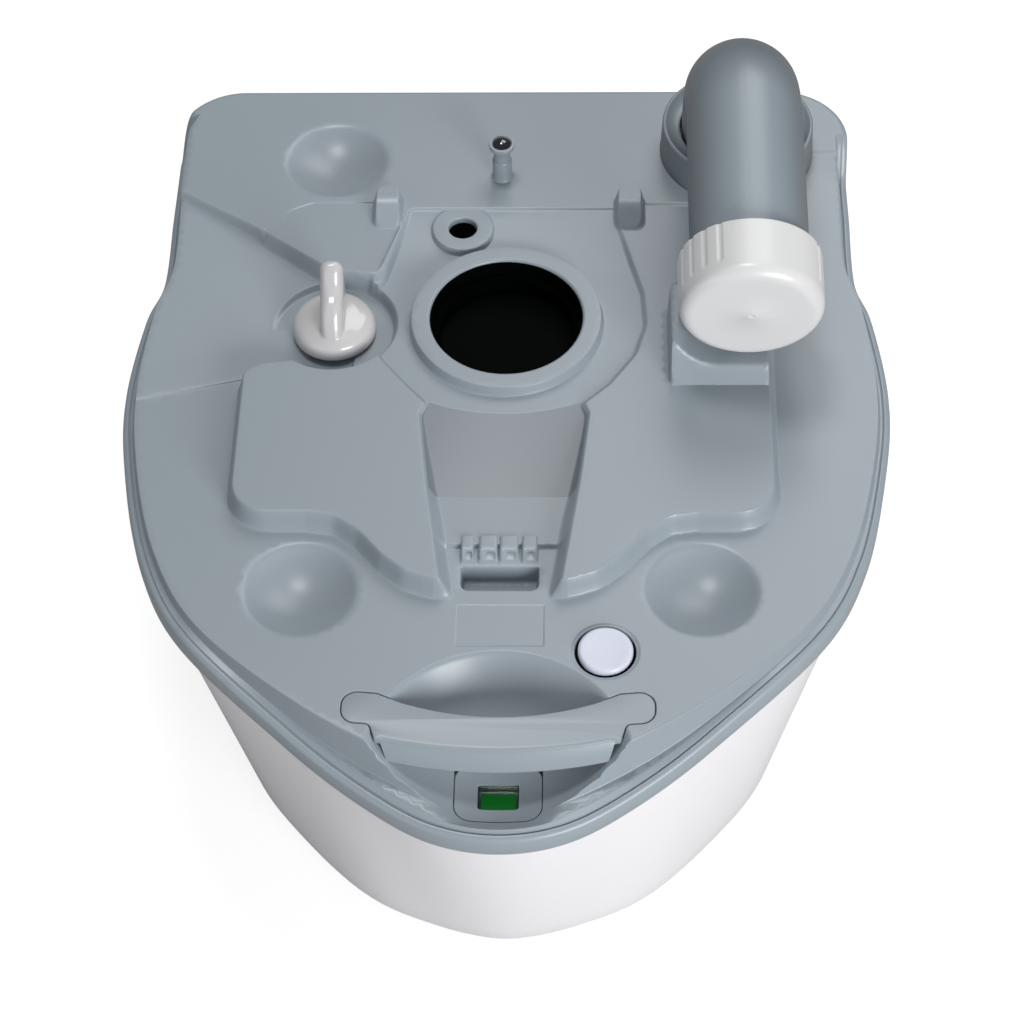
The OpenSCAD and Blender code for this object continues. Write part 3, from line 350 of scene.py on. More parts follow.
@dataclass
class Sheet:
    """Vertices and faces under construction, in millimetres."""

    verts: list[tuple[float, ...]] = field(default_factory=list)
    faces: list[tuple[int, ...]] = field(default_factory=list)

    def add(self, verts: Points, faces: Sequence[Sequence[int]]) -> Sheet:
        """Adds vertices and faces.

        Args:
            verts: New vertices.
            faces: New faces, counted from the first new vertex.

        Returns:
            The sheet.
        """
        base = len(self.verts)
        self.verts.extend(tuple(map(float, v)) for v in verts)
        self.faces.extend(tuple(base + int(i) for i in f) for f in faces)
        return self

    def lathe(self, profile: Points, segments: int) -> Sheet:
        """Adds a closed ring of the profile turned about Z.

        Args:
            profile: Radius and height of each point; the closed profile runs counter-clockwise.
            segments: Steps round the axis.

        Returns:
            The sheet.
        """
        verts: list[tuple[float, float, float]] = []
        index: list[np.ndarray] = []
        for r, z in profile:
            count = segments if r > 1e-6 else 1
            index.append(len(verts) + np.arange(segments) % count)
            verts.extend((x, y, z) for x, y in circle((0, 0), r, segments)[:count])
        faces = []
        for low, high in zip(index, index[1:] + index[:1]):
            quads = np.stack([low, np.roll(low, -1), np.roll(high, -1), high], 1).tolist()
            faces.extend(f for f in (tuple(dict.fromkeys(q)) for q in quads) if len(f) > 2)
        return self.add(verts, faces)

    def loft(self, rings: Sequence[np.ndarray], closed: bool = False) -> Sheet:
        """Adds walls between rings of equal length.

        Args:
            rings: The rings in order.
            closed: Joins the last ring to the first one; otherwise both ends get caps.

        Returns:
            The sheet.
        """
        n, count = len(rings[0]), len(rings)
        faces: list[Sequence[int]] = []
        for k in range(count if closed else count - 1):
            a, b = k * n, (k + 1) % count * n
            faces.extend((a + i, a + (i + 1) % n, b + (i + 1) % n, b + i) for i in range(n))
        if not closed:
            faces.extend((range(n - 1, -1, -1), range((count - 1) * n, count * n)))
        return self.add(np.concatenate(rings), faces)

    def mesh(self, name: str, place: Sequence[float] = (0, 0, 0)) -> bpy.types.Mesh:
        """Plain mesh in metres.

        Args:
            name: Name of the mesh.
            place: Where its origin goes in the frame, in millimetres.

        Returns:
            The mesh.
        """
        mesh = bpy.data.meshes.new(name)
        mesh.from_pydata(self.verts, [], self.faces)
        mesh.transform(Matrix.Scale(MM, 4) @ Matrix.Translation(place))
        mesh.update()
        return mesh


def shade(mesh: bpy.types.Mesh, angle: float) -> None:
    """Smooth shading with edges kept sharp above an angle in degrees."""
    mesh.polygons.foreach_set("use_smooth", [True] * len(mesh.polygons))
    mesh.set_sharp_from_angle(angle=math.radians(angle))


def put(mesh: bpy.types.Mesh, finish: Finish, angle: float | None) -> Object:
    """Object of a mesh in the scene, under the mesh's name.

    Args:
        mesh: Mesh in metres, in place.
        finish: Its finish.
        angle: Angle for smooth shading, or None to leave the shading.

    Returns:
        The object.
    """
    obj = bpy.data.objects.new(mesh.name, mesh)
    bpy.context.scene.collection.objects.link(obj)
    return dress(obj, finish, angle)


def dress(obj: Object, finish: Finish, angle: float | None) -> Object:
    """Gives a piece its finish and its smooth shading.

    Args:
        obj: The piece.
        finish: Its finish.
        angle: Angle for smooth shading, or None to leave the shading.

    Returns:
        The piece.
    """
    obj.data.materials.clear()
    obj.data.materials.append(finish.material())
    if angle is not None:
        shade(obj.data, angle)
    return obj


def settle(obj: Object) -> Object:
    """Turns the evaluated object into a plain mesh and drops its modifiers.

    Args:
        obj: Object with modifiers.

    Returns:
        The object.
    """
    old = obj.data
    graph = bpy.context.evaluated_depsgraph_get()
    obj.data = bpy.data.meshes.new_from_object(obj.evaluated_get(graph))
    obj.modifiers.clear()
    bpy.data.meshes.remove(old)
    obj.data.name = obj.name
    return obj


def seat(obj: Object, body: str, slot: str, *replaced: str) -> None:
    """Rides a piece on its body and hides the nodes that it stands for.

    Args:
        obj: The piece.
        body: Body that it moves with.
        slot: Material slot that it belongs to; not used.
        replaced: CAD nodes that it stands for.
    """
    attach(obj, body)
    if replaced:
        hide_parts(*replaced)
    LOG.info("%s: %d faces on %s", obj.name, len(obj.data.polygons), body)


# Node trees


def spaced(values: dict[str, float]) -> dict[str, float]:
    """Values by socket names, where a low line of the argument's name stands for a space."""
    return {name.replace("_", " "): value for name, value in values.items()}


class Graph:
    """Node tree under construction."""

    def __init__(self, tree: bpy.types.NodeTree) -> None:
        """Keeps the tree."""
        self.tree = tree

    def fill(self, node: bpy.types.Node, inputs: Inputs) -> None:
        """Links or sets inputs of a node.

        Args:
            node: The node.
            inputs: Sockets to link or values to set, by name or place.
        """
        for key, value in inputs.items():
            if isinstance(value, Socket):
                self.tree.links.new(value, node.inputs[key])
            else:
                node.inputs[key].default_value = value

    def node(self, kind: str, inputs: Inputs | None = None, **settings: object) -> bpy.types.Node:
        """Adds a node.

        Args:
            kind: Type of the node.
            inputs: Sockets to link or values to set, by name or place.
            settings: Properties of the node.

        Returns:
            The node.
        """
        node = self.tree.nodes.new(kind)
        for key, value in settings.items():
            setattr(node, key, value)
        self.fill(node, inputs or {})
        return node

    def maths(self, operation: str, *values: object) -> Socket:
        """Result of a maths node on sockets or numbers."""
        return self.node("ShaderNodeMath", dict(enumerate(values)), operation=operation).outputs[0]

    def product(self, first: object, *others: object) -> Socket:
        """Product of sockets or numbers."""
        for other in others:
            first = self.maths("MULTIPLY", first, other)
        return first

    def vector(self, **parts: object) -> Socket:
        """Vector of sockets or numbers named X, Y and Z."""
        return self.node("ShaderNodeCombineXYZ", parts).outputs[0]

    def parts(self, vector: Socket) -> Sequence[Socket]:
        """X, Y and Z of a vector."""
        return self.node("ShaderNodeSeparateXYZ", {0: vector}).outputs

    def scaled(self, colour: Socket, factor: Socket) -> Socket:
        """Colour times a factor."""
        return self.node("ShaderNodeVectorMath", {0: colour, "Scale": factor}, operation="SCALE").outputs[0]

    def toned(self, colour: Socket, by: Socket, **limits: float) -> Socket:
        """Colour times a factor that another socket is mapped to.

        Args:
            colour: The colour.
            by: The other socket.
            limits: Limits of the map, with low lines for the spaces in their names.

        Returns:
            The colour times the factor.
        """
        values = spaced(limits)
        return self.scaled(colour, self.node("ShaderNodeMapRange", {"Value": by, **values}).outputs[0])


class Group(Graph):
    """Node group with named inputs and outputs."""

    def __init__(self, name: str, kind: str, inputs: dict[str, object], outputs: dict[str, str]) -> None:
        """Makes the group's sockets.

        Args:
            name: Name of the group.
            kind: Type of its tree.
            inputs: Names with a default number, or with the kind of a socket that has none.
            outputs: Names with the kinds of their sockets.
        """
        super().__init__(bpy.data.node_groups.new(name, kind))
        for side, sockets in (("INPUT", inputs), ("OUTPUT", outputs)):
            for title, value in sockets.items():
                socket = value if isinstance(value, str) else {int: "Int", float: "Float"}[type(value)]
                kind = "NodeSocket" + socket
                item = self.tree.interface.new_socket(name=title, in_out=side, socket_type=kind)
                if not isinstance(value, str):
                    item.default_value = value
        self.inputs = self.node("NodeGroupInput").outputs
        self.end = self.node("NodeGroupOutput")


class Growth(Group):
    """Geometry-node group that changes or repeats its input mesh."""

    def __init__(self, name: str, **inputs: float) -> None:
        """Makes the group with its geometry, its named numbers and its material.

        Args:
            name: Name of the group.
            inputs: Named numbers with their defaults, with low lines for the spaces in their names.
        """
        sockets = {"Geometry": "Geometry", **spaced(inputs), "Material": "Material"}
        super().__init__(name, "GeometryNodeTree", sockets, {"Geometry": "Geometry"})

    def finish(self, geometry: Socket) -> None:
        """Realizes the instances, sets the material and closes the group.

        Args:
            geometry: The geometry to show.
        """
        real = self.node("GeometryNodeRealizeInstances", {0: geometry}).outputs[0]
        material = self.inputs["Material"]
        dressed = self.node("GeometryNodeSetMaterial", {"Geometry": real, "Material": material})
        self.fill(self.end, {"Geometry": dressed.outputs[0]})

    def grow(self, obj: Object, finish: Finish, **values: float) -> Object:
        """Runs the group on an object and keeps the result as a plain mesh.

        Args:
            obj: Object with the group's input mesh.
            finish: Its finish.
            values: Values of the named numbers, with low lines for spaces.

        Returns:
            The object.
        """
        modifier = obj.modifiers.new(self.tree.name, "NODES")
        modifier.node_group = self.tree
        items = [item for item in self.tree.interface.items_tree if item.in_out == "INPUT"]
        names = {item.name: item.identifier for item in items}
        modifier[names["Material"]] = finish.material()
        for name, value in spaced(values).items():
            modifier[names[name]] = value
        return settle(obj)


def tooth_row() -> Growth:
    """Group that sets copies of the input in a row along X, the two end ones narrower.

    Returns:
        The group.
    """
    g = Growth("tooth_row", Count=4, Pitch=0.01, First=0.0, Left_Width=1.0, Right_Width=1.0)
    start, step = g.vector(X=g.inputs["First"]), g.vector(X=g.inputs["Pitch"])
    count = g.inputs["Count"]
    line = g.node("GeometryNodeMeshLine", {"Count": count, "Start Location": start, "Offset": step})
    index = g.node("GeometryNodeInputIndex").outputs[0]
    first = g.maths("LESS_THAN", index, 0.5)
    last = g.maths("GREATER_THAN", index, g.maths("SUBTRACT", count, 1.5))
    left = g.product(first, g.maths("SUBTRACT", 1.0, g.inputs["Left Width"]))
    right = g.product(last, g.maths("SUBTRACT", 1.0, g.inputs["Right Width"]))
    size = g.vector(X=g.maths("SUBTRACT", 1.0, g.maths("ADD", left, right)), Y=1.0, Z=1.0)
    copies = {"Points": line.outputs[0], "Instance": g.inputs["Geometry"], "Scale": size}
    g.finish(g.node("GeometryNodeInstanceOnPoints", copies).outputs[0])
    return g


def helix_thread() -> Growth:
    """Group that sweeps a round thread along a helix about Z and adds it to the input.

    Returns:
        The group.
    """
    g = Growth("helix_thread", Turns=2.0, Radius=0.03, Height=0.01, Start=0.0, Thickness=0.001)
    radius = g.inputs["Radius"]
    path = {"Resolution": 96, "Rotations": g.inputs["Turns"], "Start Radius": radius, "End Radius": radius}
    spiral = g.node("GeometryNodeCurveSpiral", {**path, "Height": g.inputs["Height"]}).outputs[0]
    section = {"Resolution": 12, "Radius": g.inputs["Thickness"]}
    ring = g.node("GeometryNodeCurvePrimitiveCircle", section).outputs[0]
    sweep = g.node("GeometryNodeCurveToMesh", {"Curve": spiral, "Profile Curve": ring, "Fill Caps": True})
    lift = g.vector(Z=g.inputs["Start"])
    moved = g.node("GeometryNodeTransform", {"Geometry": sweep.outputs[0], "Translation": lift})
    join = g.node("GeometryNodeJoinGeometry", {0: moved.outputs[0]})
    g.fill(join, {0: g.inputs["Geometry"]})
    g.finish(join.outputs[0])
    return g


def grip_flutes() -> Growth:
    """Group that presses groups of round-ended flutes into the outer wall of a turned cap about Z.

    Returns:
        The group.
    """
    g = Growth("grip_flutes", Groups=2.0, Half_Count=3.0, Step=0.25, Turn=0.0, Flute_Radius=0.0034,
               Depth=0.0013, Length=0.02, Inner_Radius=0.033)
    half, step, radius = g.inputs["Half Count"], g.inputs["Step"], g.inputs["Flute Radius"]
    x, y, z = g.parts(g.node("GeometryNodeInputPosition").outputs[0])
    rho = g.maths("SQRT", g.maths("ADD", g.product(x, x), g.product(y, y)))
    period = g.maths("DIVIDE", 2 * math.pi, g.inputs["Groups"])
    angle = g.maths("SUBTRACT", g.maths("ARCTAN2", y, x), g.inputs["Turn"])
    rel = g.maths("WRAP", angle, g.product(period, 0.5), g.product(period, -0.5))
    place = g.maths("MINIMUM", g.maths("ROUND", g.maths("DIVIDE", rel, step)), half)
    flute = g.maths("MAXIMUM", place, g.product(half, -1.0))
    side = g.product(g.maths("SUBTRACT", rel, g.product(flute, step)), rho)
    past = g.maths("MAXIMUM", g.maths("SUBTRACT", z, g.inputs["Length"]), 0.0)
    off = g.maths("ADD", g.product(side, side), g.product(past, past))
    bow = g.maths("SQRT", g.maths("MAXIMUM", g.maths("SUBTRACT", g.product(radius, radius), off), 0.0))
    cut = g.maths("MAXIMUM", g.maths("SUBTRACT", bow, g.maths("SUBTRACT", radius, g.inputs["Depth"])), 0.0)
    outside = g.maths("GREATER_THAN", rho, g.inputs["Inner Radius"])
    share = g.maths("DIVIDE", g.product(cut, outside, -1.0), g.maths("MAXIMUM", rho, 0.001))
    shift = g.vector(X=g.product(x, share), Y=g.product(y, share))
    pressed = g.node("GeometryNodeSetPosition", {"Geometry": g.inputs["Geometry"], "Offset": shift})
    g.finish(pressed.outputs[0])
    return g


# Finishes


def mould_group() -> bpy.types.NodeTree:
    """Shader group of a moulded skin: fine grain height, slow tone drift and a roughness that varies.

    Returns:
        The node group, built once.
    """
    old = bpy.data.node_groups.get("moulded_skin")
    if old:
        return old
    inputs = {"Colour": "Color", "Grain Scale": 900.0, "Drift Scale": 9.0, "Drift": 0.04, "Roughness": 0.4,
              "Roughness Drift": 0.05}
    outputs = {"Colour Out": "Color", "Roughness Out": "Float", "Height": "Float"}
    g = Group("moulded_skin", "ShaderNodeTree", inputs, outputs)
    coord = g.node("ShaderNodeTexCoord").outputs["Object"]
    noises = (
        g.node("ShaderNodeTexNoise", {"Vector": coord, "Scale": g.inputs[scale], "Detail": detail})
        for scale, detail in (("Grain Scale", 2.0), ("Drift Scale", 3.0))
    )
    grain, drift = (noise.outputs["Fac"] for noise in noises)
    centred = g.maths("SUBTRACT", drift, 0.5)
    tone = g.maths("MULTIPLY_ADD", centred, g.inputs["Drift"], 1.0)
    rough = g.maths("MULTIPLY_ADD", centred, g.inputs["Roughness Drift"], g.inputs["Roughness"])
    g.fill(g.end, {"Colour Out": g.scaled(g.inputs["Colour"], tone), "Roughness Out": rough, "Height": grain})
    return g.tree


def new_material(name: str) -> tuple[Material, Graph]:
    """New material with nodes.

    Args:
        name: Name of the material.

    Returns:
        The material and its graph.
    """
    mat = bpy.data.materials.new(name)
    mat.use_nodes = True
    return mat, Graph(mat.node_tree)


@dataclass(frozen=True)
class Finish:
    """Plastic, rubber or metal finish."""

    name: str
    colour: tuple[float, float, float]
    roughness: float = 0.4
    drift: float = 0.04
    grain: float = 900.0
    bump: float = 0.02
    coat: float = 0.0
    metallic: float = 0.0
    specular: float = 0.5
    # Share of the colour kept at edges turned away from the eye: a painted shade.
    edge_shade: float = 1.0
    grain_depth_m: float = 0.0004

    def tone(self, g: Graph, colour: Socket) -> Socket:
        """Colour with painted shade where the surface turns away from the eye, if the finish asks for it.

        Args:
            g: Graph of the material.
            colour: Colour of the moulded skin.

        Returns:
            The colour to show.
        """
        if self.edge_shade == 1.0:
            return colour
        # Painted shade: the colour darkens towards edges that turn away from the eye.
        facing = g.node("ShaderNodeLayerWeight").outputs["Facing"]
        return g.toned(colour, facing, From_Min=0.25, To_Min=1.0, To_Max=self.edge_shade)

    def material(self) -> Material:
        """Material of this finish, built once.

        Returns:
            The material.
        """
        old = bpy.data.materials.get(self.name)
        if old:
            return old
        mat, g = new_material(self.name)
        values = {"Colour": (*self.colour, 1.0), "Grain Scale": self.grain, "Drift": self.drift,
                  "Roughness": self.roughness}
        skin = g.node("ShaderNodeGroup", values, node_tree=mould_group()).outputs
        relief = {"Strength": self.bump, "Distance": self.grain_depth_m, "Height": skin["Height"]}
        g.fill(mat.node_tree.nodes["Principled BSDF"], {
            "Base Color": self.tone(g, skin["Colour Out"]),
            "Roughness": skin["Roughness Out"],
            "Normal": g.node("ShaderNodeBump", relief).outputs["Normal"],
            "Metallic": self.metallic,
            "Specular IOR Level": self.specular,
            "Coat Weight": self.coat,
        })
        return mat


@dataclass(frozen=True)
class RecessShadeFinish(Finish):
    """Moulding with painted shade: its sloped recess ahead of the opening is coloured darker; limits in
    metres.
    """

    # Share of the colour kept inside the recess: a painted shade.
    share: float = 0.66
    half_w: float = 0.048
    front: float = -0.0494
    rear: float = 0.0150
    top: float = 0.20292

    def tone(self, g: Graph, colour: Socket) -> Socket:
        """Colour with painted shade inside the recess.

        Args:
            g: Graph of the material.
            colour: Colour of the moulded skin.

        Returns:
            The colour to show.
        """
        x, y, z = g.parts(g.node("ShaderNodeTexCoord").outputs["Object"])
        across = g.maths("LESS_THAN", g.maths("ABSOLUTE", x), self.half_w)
        along = g.product(g.maths("GREATER_THAN", y, self.front), g.maths("LESS_THAN", y, self.rear))
        inside = g.product(across, along, g.maths("LESS_THAN", z, self.top))
        # Painted shade: the colour is darkened inside the recess.
        return g.toned(colour, inside, To_Min=1.0, To_Max=self.share)


@dataclass(frozen=True)
class FlagFinish:
    """Green and red finish of the level flag's drum, split through its pin; sizes in metres."""

    pin_y: float = -0.1944
    pin_z: float = 0.1365
    split: float = 1.3
    green: tuple[float, float, float] = (0.0, 0.30, 0.018)
    red: tuple[float, float, float] = (0.5, 0.01, 0.01)
    # Painted light: the drum glows in its own colours though it is no lamp.
    painted_glow: float = 0.25
    roughness: float = 0.4

    def drum(self) -> bpy.types.NodeTree:
        """Shader group of a two-coloured drum about an X axis through a pin.

        Returns:
            The node group.
        """
        inputs = {"Pin Y": 0.0, "Pin Z": 0.0, "Split Angle": 1.3, "Upper Colour": "Color",
                  "Lower Colour": "Color"}
        g = Group("two_tone_drum", "ShaderNodeTree", inputs, {"Colour": "Color"})
        _, y, z = g.parts(g.node("ShaderNodeTexCoord").outputs["Object"])
        rise, reach = g.maths("SUBTRACT", z, g.inputs["Pin Z"]), g.maths("SUBTRACT", y, g.inputs["Pin Y"])
        past = g.maths("GREATER_THAN", g.maths("ARCTAN2", rise, reach), g.inputs["Split Angle"])
        sides = {0: past, 6: g.inputs["Lower Colour"], 7: g.inputs["Upper Colour"]}
        g.fill(g.end, {"Colour": g.node("ShaderNodeMix", sides, data_type="RGBA").outputs[2]})
        return g.tree

    def material(self) -> Material:
        """Material of the drum.

        Returns:
            The material.
        """
        mat, g = new_material("flag_green_and_red")
        values = {"Pin Y": self.pin_y, "Pin Z": self.pin_z, "Split Angle": self.split,
                  "Upper Colour": (*self.green, 1), "Lower Colour": (*self.red, 1)}
        colour = g.node("ShaderNodeGroup", values, node_tree=self.drum()).outputs[0]
        # Painted light: the flag's colours are given off as a glow.
        look = {"Base Color": colour, "Emission Color": colour, "Emission Strength": self.painted_glow,
                "Roughness": self.roughness}
        g.fill(mat.node_tree.nodes["Principled BSDF"], look)
        return mat


@dataclass(frozen=True)
class LensFinish:
    """Clear finish of the window over the flag."""

    tint: tuple[float, float, float] = (0.86, 0.95, 0.88)
    roughness: float = 0.08

    def material(self) -> Material:
        """Material that lets light through straight and mirrors a little at its faces.

        Returns:
            The material.
        """
        mat, g = new_material("clear_window")
        nodes = mat.node_tree.nodes
        nodes.remove(nodes["Principled BSDF"])
        clear = g.node("ShaderNodeBsdfTransparent", {"Color": (*self.tint, 1)}).outputs[0]
        gloss = g.node("ShaderNodeBsdfGlossy", {"Roughness": self.roughness}).outputs[0]
        share = g.node("ShaderNodeFresnel").outputs[0]
        mix = g.node("ShaderNodeMixShader", {0: share, 1: clear, 2: gloss}).outputs[0]
        g.fill(nodes["Material Output"], {"Surface": mix})
        return mat


GREY_DECK = Finish("grey_moulding", (0.262, 0.302, 0.334), roughness=0.33, bump=0.05, specular=0.42)
# The deck's skin has painted shade in the recess ahead of the opening.
DECK_SKIN = RecessShadeFinish("grey_deck_skin_recess_shade", GREY_DECK.colour, roughness=0.33, bump=0.05, specular=0.42)
# The spout's colour is darkened towards its edges as painted shade.
GREY_SPOUT = Finish("grey_spout_moulding", (0.235, 0.275, 0.305), 0.33, bump=0.05, specular=0.4,
                    edge_shade=0.3)
WHITE_SHELL = Finish("white_shell_wall", (0.82, 0.81, 0.83), roughness=0.3, drift=0.02, bump=0.03)
WHITE_GLOSS = Finish("white_gloss_moulding", (0.5, 0.49, 0.495), roughness=0.22, drift=0.02, coat=0.3)
CAP_WHITE = Finish("white_cap_moulding", (0.62, 0.62, 0.62), roughness=0.3, drift=0.02)
BUTTON_WHITE = Finish("button_moulding", (0.56, 0.59, 0.69), roughness=0.28, drift=0.02)
BLACK_RUBBER = Finish("rubber_skin", (0.0012, 0.0015, 0.0016), roughness=0.6, bump=0.05, specular=0.0)
BLACK_PLASTIC = Finish("black_moulding", (0.0012, 0.0016, 0.0016), roughness=0.5, bump=0.05, specular=0.012)
STEEL = Finish("bright_steel", (0.62, 0.63, 0.65), roughness=0.16, metallic=1.0, drift=0.02, bump=0.0)
CHROME = Finish("polished_ball", (0.10, 0.10, 0.105), roughness=0.05, metallic=1.0, drift=0.0, bump=0.0)
FLOAT_FOAM = Finish("float_foam", (0.78, 0.74, 0.62), roughness=0.7, grain=500.0, bump=0.3)

NODE_FINISHES: tuple[tuple[Finish | FlagFinish | LensFinish, str], ...] = (
    (BLACK_RUBBER, "lip_seal shaft_seal spout_o_ring cap_gasket vent_poppet"),
    (BLACK_PLASTIC, "valve_housing valve_blade valve_shaft vent_guide float_arm"),
    (STEEL, "housing_screws shaft_clip vent_spring float_pin"),
    (GREY_DECK, "deck latch_post carry_handle indicator_panel"),
    (GREY_SPOUT, "spout_collar spout_elbow"),
    (WHITE_GLOSS, "valve_knob vent_stem"),
    (WHITE_SHELL, "tank_shell"),
    (CAP_WHITE, "spout_cap"),
    (BUTTON_WHITE, "vent_button"),
    (CHROME, "latch_ball"),
    (FLOAT_FOAM, "level_float"),
    (LensFinish(), "indicator_window"),
    (FlagFinish(), "indicator_flag"),
)


def dress_nodes() -> None:
    """Gives every carried-over CAD node its finish."""
    for finish, names in NODE_FINISHES:
        material = finish.material()
        for name in names.split():
            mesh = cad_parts[name].data
            if not mesh.materials:
                mesh.materials.append(None)
            for i in range(len(mesh.materials)):
                mesh.materials[i] = material


# Deck


@dataclass
class DeckSizes:
    """Sizes of the deck that several pieces use."""

    half_w: float = 192.0
    half_d: float = 224.0
    rear_corner: float = 36.0
    deck_z: float = 193.0
    plateau_z: float = 205.0
    rear_z: float = 209.0
    zone_z: float = 203.0
    seat_z: float = 196.6
    wall: float = 3.0
    ledge_drop: float = 5.0
    front_shelf: float = 5.5
    rear_lift: float = 21.0
    skirt_h: float = 12.0
    front_dip: float = 24.0
    dip_start: float = 125.0
    opening: tuple[float, float] = (0.0, 57.5)
    opening_r: float = 38.7
    ring_r: float = 47.7
    knob: tuple[float, float] = (-87.5, 57.5)
    knob_pit_r: float = 33.0
    shaft_r: float = 6.4
    well: tuple[float, float] = (0.0, -200.6)
    well_r: float = 61.0
    well_depth: float = 32.0
    vent: tuple[float, float] = (49.2, -139.0)
    vent_r: float = 14.3
    port: tuple[float, float] = (-23.7, 120.0)
    port_r: float = 7.4
    latch: tuple[float, float] = (-3.7, 157.8)
    spout: tuple[float, float] = (120.0, 177.0)
    spout_hole_r: float = 27.0

    def outline(self, steps: int) -> Loop:
        """Whole outline of the deck, counter-clockwise from the front tip.

        Args:
            steps: Steps between two of its listed points.

        Returns:
            Points of the outline.
        """
        shares = [(-0.156, -0.977), (0, -1), (0.156, -0.977), (0.3125, -0.906), (0.521, -0.777),
                  (0.781, -0.576), (0.91, -0.366), (0.982, -0.09), (1, 0.11), (0.974, 0.33), (0.9375, 0.45),
                  (0.9375, 0.65)]
        side = catmull([(x * self.half_w, y * self.half_d) for x, y in shares], steps)[steps:]
        side[:, 0] = np.minimum(side[:, 0], self.half_w)
        r = self.rear_corner
        corner = arc((shares[-1][0] * self.half_w - r, self.half_d - r), r, 0, 90, 4 * steps)
        half = np.concatenate([side, corner])
        return np.concatenate([half, half[1:][::-1] * np.array([-1, 1])])

    def dip(self, y: np.ndarray) -> np.ndarray:
        """Share of the rim's front dip at y."""
        return smooth((-self.dip_start - y) / (self.half_d - self.dip_start))

    def lift(self, near: Loop) -> np.ndarray:
        """Share by which the rim is raised to the rear deck at places on the outline."""
        start = np.where(near[:, 0] < 0, 192.0, 172.0)
        return smooth((near[:, 1] - start) / 18.0)

    def ledge_z(self, near: Loop) -> np.ndarray:
        """Height of the rim's bead at places on the outline."""
        drop = self.ledge_drop + self.front_dip * self.dip(near[:, 1])
        return self.deck_z - drop + self.rear_lift * self.lift(near)

    def wall_foot(self, near: Loop) -> np.ndarray:
        """Inset of the deck wall's foot at places on the outline."""
        return 4.9 + 1.9 * smooth((-near[:, 1] - 20) / 110) + self.front_shelf * self.dip(near[:, 1]) ** 3

    def wall_run(self, near: Loop) -> np.ndarray:
        """Width of the deck wall at places on the outline."""
        return 1.9 + 0.4 * self.dip(near[:, 1])


SIZES = DeckSizes()


def bar_front(x: np.ndarray) -> np.ndarray:
    """Front edge of the carry bar, as y over x."""
    return -194.0 + x * x / 464.0


def handle_outline(grow: float) -> Loop:
    """Outline of the carry handle in plan.

    Args:
        grow: How far the outline is moved outwards.

    Returns:
        Points, counter-clockwise.
    """
    front = [(x, bar_front(x), 0.0) for x in np.linspace(-53, 53, 15)]
    rear = [(x, -175.7 + x * x / 260.0, 0.0) for x in np.linspace(44, -44, 13)]
    right = [(56.0, -187.2, 1.2), (58.5, -179.3, 4.0), (71.6, -178.6, 8.3), (71.6, -161.6, 8.3),
             (56.0, -163.0, 5.0)]
    left = mirrored(right)[len(right) :]
    path = resampled(rounded(front + right + rear + left), 1.5)
    return path + grow * normals_of(path)


def insert_outline(grow: float) -> Loop:
    """Outline of the level indicator's insert in plan, moved outwards by grow."""
    path = resampled(panel((-20, -212.4), (20, -184.4), 7, 3), 1.5)
    return path + grow * normals_of(path)


